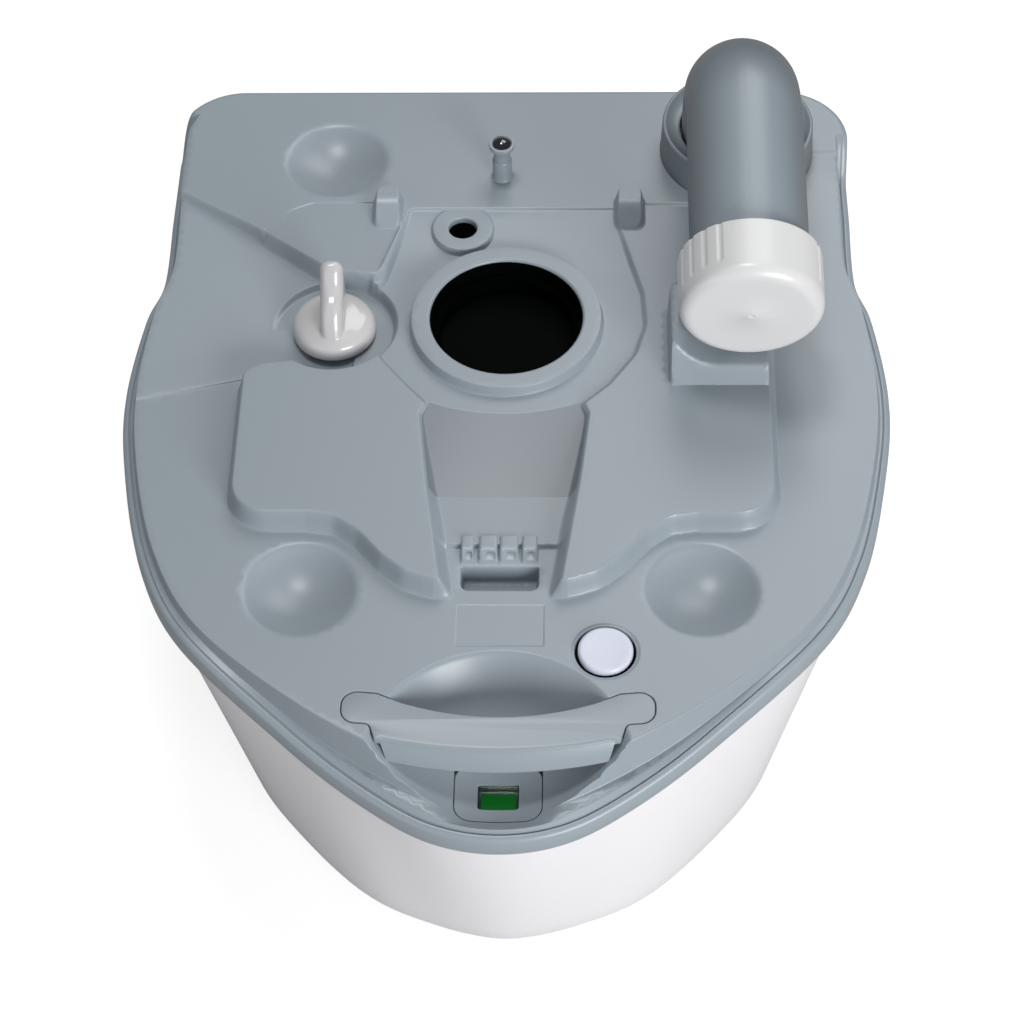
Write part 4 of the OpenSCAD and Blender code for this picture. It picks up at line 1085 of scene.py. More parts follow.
@dataclass
class DeckSurface:
    """Height of the moulded deck over its plan."""

    s: DeckSizes
    edge: float = 4.2
    lip: float = 5.0
    line_step: float = 2.7
    side_start: float = 18.0
    side_end: float = 150.0
    channel: tuple[tuple[float, float], ...] = ((-184.7, 14.7), (-131.0, 28.2))
    channel_x: float = -120.0
    channel_step: float = 0.5
    channel_fade: float = 26.0
    recess_front: float = -49.4
    recess_depth: float = 9.5
    horn_h: float = 21.6
    saddle_x: float = 107.0
    saddle_r: float = 28.6
    saddle_tilt: float = 8.0
    dimple_r: float = 26.5
    dimple_depth: float = 9.5
    dimples: tuple[tuple[float, float], ...] = ((-91.7, 169.8), (95.0, -103.0), (-95.0, -103.0))
    port_ring_r: float = 15.2
    dish_r: float = 16.6
    slope_h: float = 0.06

    def __post_init__(self) -> None:
        """Builds the outlines and the features in the order that they are moulded."""
        self.border = Outline(self.s.outline(14))
        self.features = self.main_features() + self.small_features()
        self.late = self.late_features()

    def base(self, p: Loop) -> np.ndarray:
        """Lowest deck with the rising side zones and the fine step where the left one starts.

        Args:
            p: Points in plan.

        Returns:
            Heights.
        """
        s = self.s
        (x0, y0), (x1, y1) = self.channel
        at_channel = p[:, 0] < self.channel_x
        start = np.where(at_channel, y0 + (p[:, 0] - x0) * (y1 - y0) / (x1 - x0), self.side_start)
        past = p[:, 1] - start
        t = past / (self.side_end - start)
        left = (s.plateau_z - s.deck_z) * soft_min(np.maximum(t, 0), 1.0, 0.04)
        right = (s.rear_z - 1.0 - s.deck_z) * soft_min((t + np.sqrt(t * t + 0.02)) / 2, 1.0, 0.1)
        step = self.channel_step * wall_profile(past / 0.6, 0.3) * (1 - smooth(past / self.channel_fade))
        return s.deck_z + np.where(p[:, 0] < 0, left, right) + step * at_channel

    def plateau_top(self, p: Loop) -> np.ndarray:
        """Top of the plateau, rising a little towards the rear deck."""
        return self.s.plateau_z + 3.0 * smooth((p[:, 1] - 70.0) / 68.0)

    def zone_floor(self, p: Loop) -> np.ndarray:
        """Floor of the zone round the opening, rising to the rear deck."""
        return self.s.zone_z + 5.0 * smooth((p[:, 1] - 92.0) / 42.0)

    def crease(self, x: np.ndarray) -> np.ndarray:
        """Rear crease of the recess ahead of the opening, as y over x."""
        return -2.2 + 6.7 * (x / 35.5) ** 2

    def recess_floor(self, p: Loop) -> np.ndarray:
        """Floor of the recess ahead of the opening.

        Args:
            p: Points in plan.

        Returns:
            Heights.
        """
        s, y = self.s, p[:, 1]
        low = s.plateau_z - self.recess_depth
        t = np.clip((y - self.recess_front) / (self.crease(p[:, 0]) - self.recess_front), 0, 1)
        front = s.deck_z + (low - s.deck_z) * wall_profile((y + 80.0) / 2.4, 0.4)
        return np.where(y > -60, low + (s.zone_z - low) * t, front)

    def recess_run(self, p: Loop) -> np.ndarray:
        """Width of the recess's side walls, wider towards the front."""
        return 3.2 + 4.0 * smooth(-p[:, 1] / 70.0)

    def cradle_top(self, p: Loop) -> np.ndarray:
        """Top of the block that rises to a horn beside the spout's cap.

        Args:
            p: Points in plan.

        Returns:
            Heights.
        """
        x, y = p.T
        r, foot = self.saddle_r, self.s.plateau_z
        bow = r - np.sqrt(np.maximum(r * r - np.maximum(self.saddle_x - x, 0) ** 2, 1.0))
        top = foot + 10.0 + bow + (y - 14.6) * math.tan(math.radians(self.saddle_tilt))
        return soft_min(soft_min(top, foot + self.horn_h, 1.5), foot + (y - 14.2) / 0.37, 2.4)

    def nub_top(self, p: Loop) -> np.ndarray:
        """Top of a nub with its sloped front."""
        return soft_min(self.s.rear_z + (p[:, 1] - 120.0) * 0.9, self.s.rear_z + 9.0, 3.4)

    def main_features(self) -> list[Feature]:
        """Large features below the rim: plateau, rear deck, pad, zone, knob's pit and recess.

        Returns:
            The features in order.
        """
        s = self.s
        rear = rounded([
            (-230, 184, 0), (-172, 147, 3), (-127.8, 118.6, 2), (-125, 119.5, 2), (-96, 97.2, 5),
            (-82, 92, 4), (-64, 90.7, 5), (-52.3, 134.5, 5), (54.5, 134.5, 4), (56.5, 138.5, 3),
            (126, 138.5, 8), (146, 176, 8), (230, 182, 0), (230, 260, 0), (-230, 260, 0),
        ])
        front = mirrored([
            (31.2, -104.5, 1.6), (36, -103.2, 5), (45, -99.8, 14), (56, -90.3, 14), (67.5, -76.2, 16),
            (80, -66.8, 14), (94, -64.7, 12),
        ])
        back = [
            (130, -64.7, 21), (130.3, 138.5, 2), (-63.8, 139, 0), (-63.8, 95, 4), (-70, 80, 4), (-72, 50, 4),
            (-74, 33, 2), (-76, 30.4, 2), (-86, 28.3, 12), (-100, 31.6, 6), (-122, 28.4, 5), (-130, 23.5, 5),
            (-130, -64.7, 21),
        ]
        plateau = rounded(front[:7] + back + front[7:])
        zone = rounded([
            (-52.3, 134.5, 3), (-64, 86, 5), (-71, 75, 8), (-73.6, 60, 20), (-70, 43, 20), (-62, 29.5, 14),
            (-50, 14, 14), (-41, 3.6, 2), (-36, -3.5, 2), (36, -3.5, 2), (41, 3, 2), (53.1, 15, 14),
            (66.3, 35, 20), (71.8, 55, 20), (70.6, 77, 14), (60.5, 115, 10), (54.5, 134.5, 3),
        ])
        side = [(27.0, -125, 0), (30.7, -98.4, 30), (38, -47.2, 60), (42.7, -3.4, 5), (38.5, 8, 3)]
        recess = Outline(rounded(mirrored(side)))
        pad = Outline(rounded([
            (-126.4, 118.2, 3), (-94.6, 94.6, 4), (-83.7, 89.8, 4), (-66, 88.2, 5), (-53.5, 129.5, 5),
            (-68.8, 138.6, 5), (-103.1, 138.7, 6), (-114.9, 133, 8),
        ]))
        pad_z = s.rear_z - 0.7
        return [
            Feature(Blend.RAISE, Outline(plateau), self.plateau_top, 4.8, 0.46),
            Feature(Blend.RAISE, Outline(rear), s.rear_z, 3.2, 0.38),
            Feature(Blend.RAISE, pad, pad_z, 5.4, 0.3),
            Feature(Blend.CUT, Outline(zone), self.zone_floor, 3.0, 0.42),
            Feature(Blend.CUT, Circle(s.knob, s.knob_pit_r), s.seat_z, 3.6, 0.4, 2.0),
            Feature(Blend.CUT, recess, self.recess_floor, self.recess_run, 0.3, 2.2),
            Feature(Blend.CUT, pad, pad_z, 0.8, 0.4),
        ]

    def small_features(self) -> list[Feature]:
        """Nubs, cradle and the raised rings of the port and of the opening.

        Returns:
            The features in order.
        """
        s = self.s
        nubs = [panel((x - 5.4, 120.5), (x + 5.4, 141.5), 4, 4.4) for x in (-63.0, 63.0)]
        cradle = rounded([(82.6, 14.8, 3.2), (130, 14.8, 2), (130, 64, 2), (82.6, 64, 3)])
        return [Feature(Blend.RAISE, Outline(nub), self.nub_top, 3.2, 0.49, 1.0) for nub in nubs] + [
            Feature(Blend.RAISE, Outline(cradle), self.cradle_top, 1.7, 0.45, 1.6),
            Feature(Blend.RAISE, Circle(s.port, self.port_ring_r), s.rear_z - 0.6, 1.6, 0.4, 1.6),
            Feature(Blend.RAISE, Circle(s.opening, s.ring_r), s.rear_z, 1.8, 0.42, 1.6),
        ]

    def late_features(self) -> list[Feature]:
        """Small sunk features that are cut last: pocket, label's seat, button's dish and handle's seat.

        Returns:
            The features in order.
        """
        z = self.s.deck_z
        pocket = panel((-19.6, -104.4), (18.4, -89.4), 5, 1.5)
        label = panel((-21, -136.6), (21, -112), 0.6, 0.6)
        return [
            Feature(Blend.CUT, Outline(pocket), z - 10, 2.0, 0.44, 1.2),
            Feature(Blend.CUT, Outline(label), z - 0.12, 0.8, 0.4),
            Feature(Blend.CUT, Circle(self.s.vent, self.dish_r), z - 0.35, 1.6, 0.4, 1.4),
            Feature(Blend.CUT, Outline(handle_outline(0.6)), z - 4.2, 0.5, 0.4, 1.2),
        ]

    def holes(self) -> list[Loop]:
        """Outlines of the through holes.

        Returns:
            Closed lines.
        """
        s = self.s
        round_holes = ((s.opening, s.opening_r, 144), (s.port, s.port_r, 48), (s.vent, s.vent_r, 72),
                       (s.knob, s.shaft_r, 36), (s.spout, s.spout_hole_r, 72))
        return [circle(*hole) for hole in round_holes] + [resampled(insert_outline(0.5), 1.4)]

    def inset(self, p: Loop) -> tuple[np.ndarray, Loop]:
        """Distance of points from the deck's outline, inwards, and the nearest places on it."""
        d, nearest = self.border.distance(p)
        return -d, nearest

    def bowl(self, p: Loop, centre: Points, r: float, depth: float, level: float) -> tuple[Loop, Loop]:
        """Lower part of a ball sunk under a level.

        Args:
            p: Points in plan.
            centre: Centre of the bowl.
            r: Its radius at the level.
            depth: Its depth.
            level: The level.

        Returns:
            Heights of the ball, and squared distances from the centre.
        """
        ball_r = (r * r + depth * depth) / (2 * depth)
        q = ((p - centre) ** 2).sum(1)
        return level - depth + ball_r - np.sqrt(np.maximum(ball_r**2 - q, 1.0)), q

    def height(self, p: Loop) -> np.ndarray:
        """Height of the deck's upper skin at points in plan.

        Args:
            p: Points, one row each.

        Returns:
            Heights.
        """
        s = self.s
        z = self.base(p)
        for feature in self.features:
            z = feature.apply(p, z)
        for centre in self.dimples:
            level = s.rear_z if centre[1] > 0 else s.deck_z
            dimple, q = self.bowl(p, centre, self.dimple_r, self.dimple_depth, level)
            z = np.where(q < (self.dimple_r + 12) ** 2, soft_min(z, dimple, 1.6), z)
        inset, nearest = self.inset(p)
        ledge = s.ledge_z(nearest) + s.wall * np.clip((inset - 3) / 3.5, 0, 1) * s.dip(nearest[:, 1])
        z = ledge + (z - ledge) * wall_profile((inset - s.wall_foot(nearest)) / s.wall_run(nearest), 0.3)
        well, q = self.bowl(p, s.well, s.well_r, s.well_depth, s.deck_z)
        sunk = (soft_min(z, well, 2.2) - z) * wall_profile((inset - self.lip) / 1.4, 0.4)
        z = np.where(q < (s.well_r + 10) ** 2, z + sunk, z)
        for feature in self.late:
            z = feature.apply(p, z)
        edges = ((s.opening, s.opening_r, 1.3), (s.port, s.port_r, 0.8), (s.vent, s.vent_r, 0.5))
        for (x, y), r, fillet in edges:
            d = np.hypot(p[:, 0] - x, p[:, 1] - y) - r
            t = np.clip(1 - d / fillet, 0, 1)
            z = z - fillet * (1 - np.sqrt(np.maximum(1 - t * t, 0.0))) * (d < fillet)
        return z

    def under(self, p: Loop) -> np.ndarray:
        """Height of the deck's lower skin at points in plan, with the bosses round three holes.

        Args:
            p: Points, one row each.

        Returns:
            Heights.
        """
        s = self.s
        z = self.height(p) - s.wall
        for (x, y), r, foot in ((s.opening, 53.0, 196.0), (s.knob, 9.6, 190.4), (s.vent, 17.2, 187.3)):
            d = np.hypot(p[:, 0] - x, p[:, 1] - y) - r
            z = z + (np.minimum(foot, z) - z) * (1.0 - wall_profile(d / 1.5, 0.3))
        return z

    def normals(self, p: Loop) -> np.ndarray:
        """Unit normals of the upper skin by small differences.

        Args:
            p: Points, one row each.

        Returns:
            Normals.
        """
        h = self.slope_h
        dx = self.height(p + (h, 0)) - self.height(p - (h, 0))
        dy = self.height(p + (0, h)) - self.height(p - (0, h))
        return unit(np.stack([-dx / (2 * h), -dy / (2 * h), np.ones(len(p))], 1))

    def plan_lines(self) -> list[Loop]:
        """Closed lines that the mesh has to follow.

        Returns:
            The lines.
        """
        s = self.s
        rows = [line for feature in self.features + self.late for line in feature.lines()]
        rings = [(centre, self.dimple_r, (-2, -1.2, -0.5, 0, 0.5, 1.2), 2.4) for centre in self.dimples]
        rings += [
            (s.well, s.well_r, (-2.6, -1.7, -1.0, -0.4, 0.2, 0.8, 1.6), 2.0),
            (s.opening, s.opening_r, (0.1, 0.35, 0.75, 1.3), 1.6),
            (s.port, s.port_r, (0.1, 0.3, 0.8), 1.2),
        ]
        for centre, r, offsets, spacing in rings:
            rows.extend(Circle(centre, r).lines(offsets, spacing))
        path = resampled(self.border.path, self.line_step)
        foot, run = s.wall_foot(path), s.wall_run(path)
        shares = (0.0, 0.15, 0.3, 0.5, 0.7, 0.85, 1.0)
        rows.extend(path - (foot + k * run)[:, None] * normals_of(path) for k in shares)
        return rows

    def open_lines(self) -> list[Loop]:
        """Open lines that the mesh has to follow: the recess's creases, front ledge and channel's step.

        Returns:
            The lines.
        """
        x = np.linspace(-40, 40, 33)
        rows = [np.column_stack([x, self.crease(x) + d]) for d in (-0.25, 0.25)]
        x = np.linspace(-34, 34, 27)
        front = self.recess_front
        rows += [lifted(x, y) for y in (front - 0.2, front + 0.2, -77.6, -78.5, -79.1, -80.0)]
        path = resampled(self.border.path, self.line_step)
        half = len(path) // 2
        path, n = np.roll(path, half, 0), np.roll(normals_of(path), half, 0)
        ahead = path[:, 1] < -150.0
        rows += [(path - d * n)[ahead] for d in (4.7, 5.0, 5.3, 5.6, 5.9, 6.2, 6.5)]
        start, end = np.array(self.channel)
        t = np.linspace(0, 1, 23)[:, None]
        return rows + [start + (end - start) * t + (0, d) for d in (0.0, 0.18, 0.3, 0.42, 0.6)]

    def fine_points(self) -> Loop:
        """Extra free points on the cradle and on the nubs, where the form is small.

        Returns:
            Points in plan.
        """
        rows = []
        for x0, y0, x1, y1, step in ((84.5, 16.5, 128.5, 34, 1.1), (84.5, 34, 109, 62, 1.6),
                                     (-67.5, 122, -58.5, 139, 1.0), (58.5, 122, 67.5, 139, 1.0)):
            gx, gy = np.meshgrid(np.arange(x0, x1, step), np.arange(y0, y1, step))
            gx[::2] += step / 2
            rows.append(np.column_stack([gx.ravel(), gy.ravel()]))
        return np.concatenate(rows)


def triangulate(closed: list[Loop], opened: list[Loop], free: Loop, keep: Field) -> tuple[Loop, np.ndarray]:
    """Triangles that follow lines.

    Args:
        closed: Closed lines.
        opened: Open lines.
        free: Free points.
        keep: Says for triangle middles whether they stay.

    Returns:
        Points and triangles.
    """
    coords: list[Vector] = []
    edges: list[tuple[int, int]] = []
    for lines, ends in ((closed, 0), (opened, 1)):
        for line in lines:
            base, n = len(coords), len(line)
            coords.extend(Vector(p) for p in line)
            edges.extend((base + i, base + (i + 1) % n) for i in range(n - ends))
    coords.extend(Vector(p) for p in free)
    verts, _, faces, *_ = delaunay_2d_cdt(coords, edges, [], 0, 0.02)
    pts = np.array([v[:] for v in verts])
    tris = np.array([f for f in faces if len(f) == 3])
    tris = tris[keep(pts[tris].mean(1))]
    used, index = np.unique(tris, return_inverse=True)
    return pts[used], index.reshape(tris.shape)


def border_edges(tris: np.ndarray) -> list[tuple[int, int]]:
    """Directed edges that only one triangle uses."""
    edges = dict.fromkeys((int(t[i]), int(t[(i + 1) % 3])) for t in tris for i in range(3))
    return [e for e in edges if e[::-1] not in edges]


@dataclass
class Deck:
    """Grey moulded upper shell of the tank."""

    surface: DeckSurface
    spacing: float = 4.2
    row_share: float = 0.87
    wall_guard: float = 0.4
    rim_reach: float = 1.2
    groove: float = 3.01

    def rim_column(self, point: np.ndarray, border: np.ndarray) -> list[tuple[float, float, float]]:
        """Points of the rim at a place, from its groove out over the bead, down the skirt and back in.

        The groove fades out where the rim is lifted to the rear deck, and the skirt's foot stays level.

        Args:
            point: Edge point of the deck's skin in plan.
            border: Nearest place on the outline.

        Returns:
            Points in order.
        """
        s, foot = self.surface.s, -self.surface.s.skirt_h
        profile = [
            (3.95, -0.55), (3.6, -0.75), (3.25, -0.5), *arc((3.0, -3.0), 3.0, 90, 180, 8), (0.0, foot + 0.8),
            (0.25, foot + 0.2), (0.8, foot), (2.2, foot), (2.8, foot + 0.2), (3.0, foot + 0.8), (3.0, -4.2),
            (3.4, -3.2),
        ]
        out = (border - point) / np.linalg.norm(border - point)
        lift, top = float(s.lift(border[None])[0]), float(s.ledge_z(border[None])[0])
        column = []
        for inset, dz in profile:
            in_groove = inset > self.groove
            z = top + dz - s.rear_lift * lift if dz <= -5 else top + dz * (1 - lift * in_groove)
            column.append((*(border - out * inset), z))
        return column

    def plan(self) -> tuple[Loop, np.ndarray]:
        """Points and triangles of the deck in plan.

        Returns:
            Points and triangles.
        """
        surface = self.surface
        s = surface.s
        outer = surface.border.lines([-surface.edge], surface.line_step)[0]
        holes = surface.holes()
        inside = Outline(outer)
        walls = [Outline(hole) for hole in holes]

        def keep(p: Loop) -> np.ndarray:
            """Whether points are on the deck and outside the holes."""
            return (inside.distance(p)[0] < 0) & np.all([w.distance(p)[0] > 0 for w in walls], axis=0)

        gx, gy = np.meshgrid(np.arange(-s.half_w, s.half_w, self.spacing),
                             np.arange(-s.half_d, s.half_d, self.spacing * self.row_share))
        gx[1::2] += self.spacing / 2
        grid = np.column_stack([gx.ravel(), gy.ravel()])
        inset, nearest = surface.inset(grid)
        foot, guard = s.wall_foot(nearest), self.wall_guard
        off_wall = (inset < foot - guard) | (inset > foot + s.wall_run(nearest) + guard)
        free = grid[(inside.distance(grid)[0] < -1.0) & off_wall]
        free = np.concatenate([free, surface.fine_points()])
        return triangulate([outer] + holes + surface.plan_lines(), surface.open_lines(), free, keep)

    def build(self) -> None:
        """Builds the whole deck, its upper skin shaded with the surface's own normals."""
        surface = self.surface
        pts, tris = self.plan()
        n = len(pts)
        faces = [tuple(t) for t in tris.tolist()]
        faces.extend((c + n, b + n, a + n) for a, b, c in tris.tolist())
        edges = border_edges(tris)
        on_rim = surface.inset(pts)[0] < surface.edge + self.rim_reach
        rim = sorted({v for e in edges for v in e if on_rim[v]})
        verts = [*lifted(pts, surface.height(pts)), *lifted(pts, surface.under(pts))]
        columns: dict[int, list[int]] = {}
        for v, border in zip(rim, surface.inset(pts[rim])[1]):
            column = self.rim_column(pts[v], border)
            columns[v] = [v, *range(len(verts), len(verts) + len(column)), v + n]
            verts.extend(column)
        for a, b in edges:
            both = a in columns and b in columns
            left, right = (columns[v] if both else [v, v + n] for v in (a, b))
            faces.extend((left[k + 1], right[k + 1], right[k], left[k]) for k in range(len(left) - 1))
        mesh = Sheet().add(verts, faces).mesh("deck_skin")
        shade(mesh, 40)
        normals = np.zeros((len(mesh.loops), 3))
        normals[: 3 * len(tris)] = surface.normals(pts)[tris.reshape(-1)]
        mesh.normals_split_custom_set(normals.tolist())
        seat(put(mesh, DECK_SKIN, None), "tank", "grey_deck", "deck")


# Tank body and small pieces


@dataclass
class Body:
    """White tapered tank under the deck."""

    gap: float = 3.3
    wall: float = 3.0
    foot: float = 7.0
    draw: float = 34.0
    shoulder_draw: float = 7.5
    nose_draw: float = 4.5
    rear_draw: float = 12.0

    def ring(self, path: Loop, inset: float, z: float) -> np.ndarray:
        """Ring of the body at a height, drawn in towards the floor.

        Args:
            path: Outline of the deck.
            inset: Inset from it at the top.
            z: Height, cut off under the deck's rim.

        Returns:
            Points of the ring.
        """
        s = SIZES
        top = s.deck_z - s.ledge_drop - self.wall - 0.3 - (s.front_dip + self.wall) * s.dip(path[:, 1])
        z = np.minimum(z, top)
        ahead = -path[:, 1] / s.half_d
        draw = self.draw - self.shoulder_draw * np.exp(-(((ahead - 0.8) / 0.14) ** 2))
        draw = draw + self.nose_draw * smooth((ahead - 0.84) / 0.16) - self.rear_draw * smooth(-ahead)
        return lifted(path - (inset + draw * (1 - z / top))[:, None] * normals_of(path), z)

    def build(self) -> None:
        """Builds the body with its outer and inner walls."""
        path = SIZES.outline(9)
        r, top = self.foot, SIZES.deck_z
        foot = [self.ring(path, self.gap + r - x, r - y) for y, x in arc((0, 0), r, 0, 90, 7)]
        side = [self.ring(path, self.gap, z) for z in np.linspace(20, top, 9)]
        inner = [self.ring(path, self.gap + self.wall, z) for z in (top, 120.0, 60.0, 12.0)]
        floor = self.ring(path, self.gap + self.wall + 4, 4.0)
        mesh = Sheet().loft(foot + side + inner + [floor]).mesh("body_skin")
        seat(put(mesh, WHITE_SHELL, 40), "tank", "white_shell", "tank_shell")


@dataclass
class Comb:
    """Row of four small moulded teeth behind the finger pocket."""

    count: int = 4
    pitch: float = 9.9
    first: float = -16.3
    width: float = 8.8
    front: float = -87.7
    rear: float = -74.0
    height: float = 3.5
    corner: float = 1.3
    niche_x: float = 0.5
    niche_r: float = 2.9
    left_share: float = 0.68
    right_share: float = 0.82

    def ring(self, rise: float, grown: float, back: float, bite: float) -> np.ndarray:
        """Outline of a tooth at a height, with an arched niche bitten out of its front.

        Args:
            rise: Height over the deck.
            grown: How far the outline is moved outwards.
            back: How far the front is moved back.
            bite: Depth of the niche.

        Returns:
            Points of the ring.
        """
        w, r = self.width / 2 + grown, self.corner
        x = np.linspace(-w, w, 25)
        round_off = r - np.sqrt(np.maximum(r * r - np.maximum(np.abs(x) - (w - r), 0) ** 2, 0))
        niche = bite * np.sqrt(np.maximum(1 - ((x - self.niche_x) / self.niche_r) ** 2, 0))
        front = np.column_stack([x, self.front - grown + back + round_off + niche])
        return lifted(np.concatenate([front, [(w, self.rear), (-w, self.rear)]]), SIZES.deck_z + rise)

    def build(self) -> None:
        """Builds the row of teeth from the rings of one tooth."""
        h = self.height
        steps = ((-1.2, 0.9, 0.0, 0.0), (0.05, 0.85, 0.0, 0.0), (0.25, 0.4, 0.25, 0.0), (0.7, 0.08, 0.8, 0.0),
                 (1.0, 0.0, 1.2, 0.25), (1.2, 0.0, 1.4, 1.6), (1.7, 0.0, 2.2, 2.2), (2.2, 0.0, 3.1, 2.2),
                 (2.5, -0.02, 3.7, 1.5), (2.8, -0.08, 4.4, 0.3), (h - 0.3, -0.3, 5.1, 0.0),
                 (h - 0.05, -0.8, 5.9, 0.0), (h, -1.4, 6.6, 0.0))
        obj = put(Sheet().loft([self.ring(*step) for step in steps]).mesh("comb_teeth"), GREY_DECK, 50)
        tooth_row().grow(obj, GREY_DECK, Count=self.count, Pitch=self.pitch * MM, First=self.first * MM,
                         Left_Width=self.left_share, Right_Width=self.right_share)
        seat(obj, "tank", "grey_deck")


@dataclass
class Knob:
    """White finger knob that turns the valve blade: a low dome with a stepped fin."""

    radius: float = 21.0
    foot: float = 1.0
    dome_h: float = 13.4
    height: float = 39.0
    fin_w: float = 11.8
    fin_round: float = 5.0
    fin_reach: float = 16.0
    hollow_top: float = 10.3
    wall: float = 2.7
    voxel: float = 0.42

    def fin(self) -> list[np.ndarray]:
        """Rings of the fin, its side view lofted across its width with fully rounded edges.

        Returns:
            The rings.
        """
        shares = [(1, 0.26), (1, 0.5), (1.0, 0.76), (0.97, 0.9), (0.85, 0.98), (0.66, 1), (0.49, 0.965),
                  (0.34, 0.89), (0.16, 0.79), (-0.06, 0.72), (-0.32, 0.685), (-0.52, 0.63), (-0.72, 0.53),
                  (-0.88, 0.42), (-0.98, 0.32), (-1, 0.26)]
        points = np.array(shares) * (self.fin_reach, self.height)
        path = np.concatenate([catmull(points, 6), points[-1:]])
        n = normals_of(path)
        n[0], n[-1] = (1.0, 0.0), (-1.0, 0.0)
        rings = []
        for a in np.radians(np.linspace(-90, 90, 25)):
            x = math.copysign(self.fin_w / 2 - self.fin_round, a) + self.fin_round * math.sin(a)
            p = path - self.fin_round * (1 - math.cos(a)) * n
            rings.append(np.column_stack([np.full(len(p), x), p]))
        return rings

    def build(self) -> None:
        """Builds the knob in place, its dome and fin run together."""
        r, foot, top = self.radius, self.foot, self.hollow_top
        dome = [(r - 0.6, foot), (r - 0.15, foot + 0.15), (r, foot + 0.6), (r, 4.6), (r - 0.25, 6.4),
                (r - 1.0, 8.2), (r - 2.4, 9.7), (r - 4.6, 11.0), (r - 8.0, 12.2), (r - 13.0, 13.1),
                (0, self.dome_h)]
        bore = r - self.wall
        hollow = [(0, top), (bore - self.wall, top), (bore, top - self.wall), (bore, foot)]
        sheet = Sheet().lathe(dome + hollow, 96).loft(self.fin())
        obj = put(sheet.mesh("knob_skin", (0, 0, SIZES.seat_z)), WHITE_GLOSS, 32)
        remesh = obj.modifiers.new("remesh", "REMESH")
        remesh.mode = "VOXEL"
        remesh.voxel_size = self.voxel * MM
        relax = obj.modifiers.new("relax", "SMOOTH")
        relax.factor = 0.5
        relax.iterations = 9
        settle(obj).data.transform(Matrix.Translation((*(v * MM for v in SIZES.knob), 0)))
        seat(dress(obj, WHITE_GLOSS, 180), "valve", "white_gloss", "valve_knob")


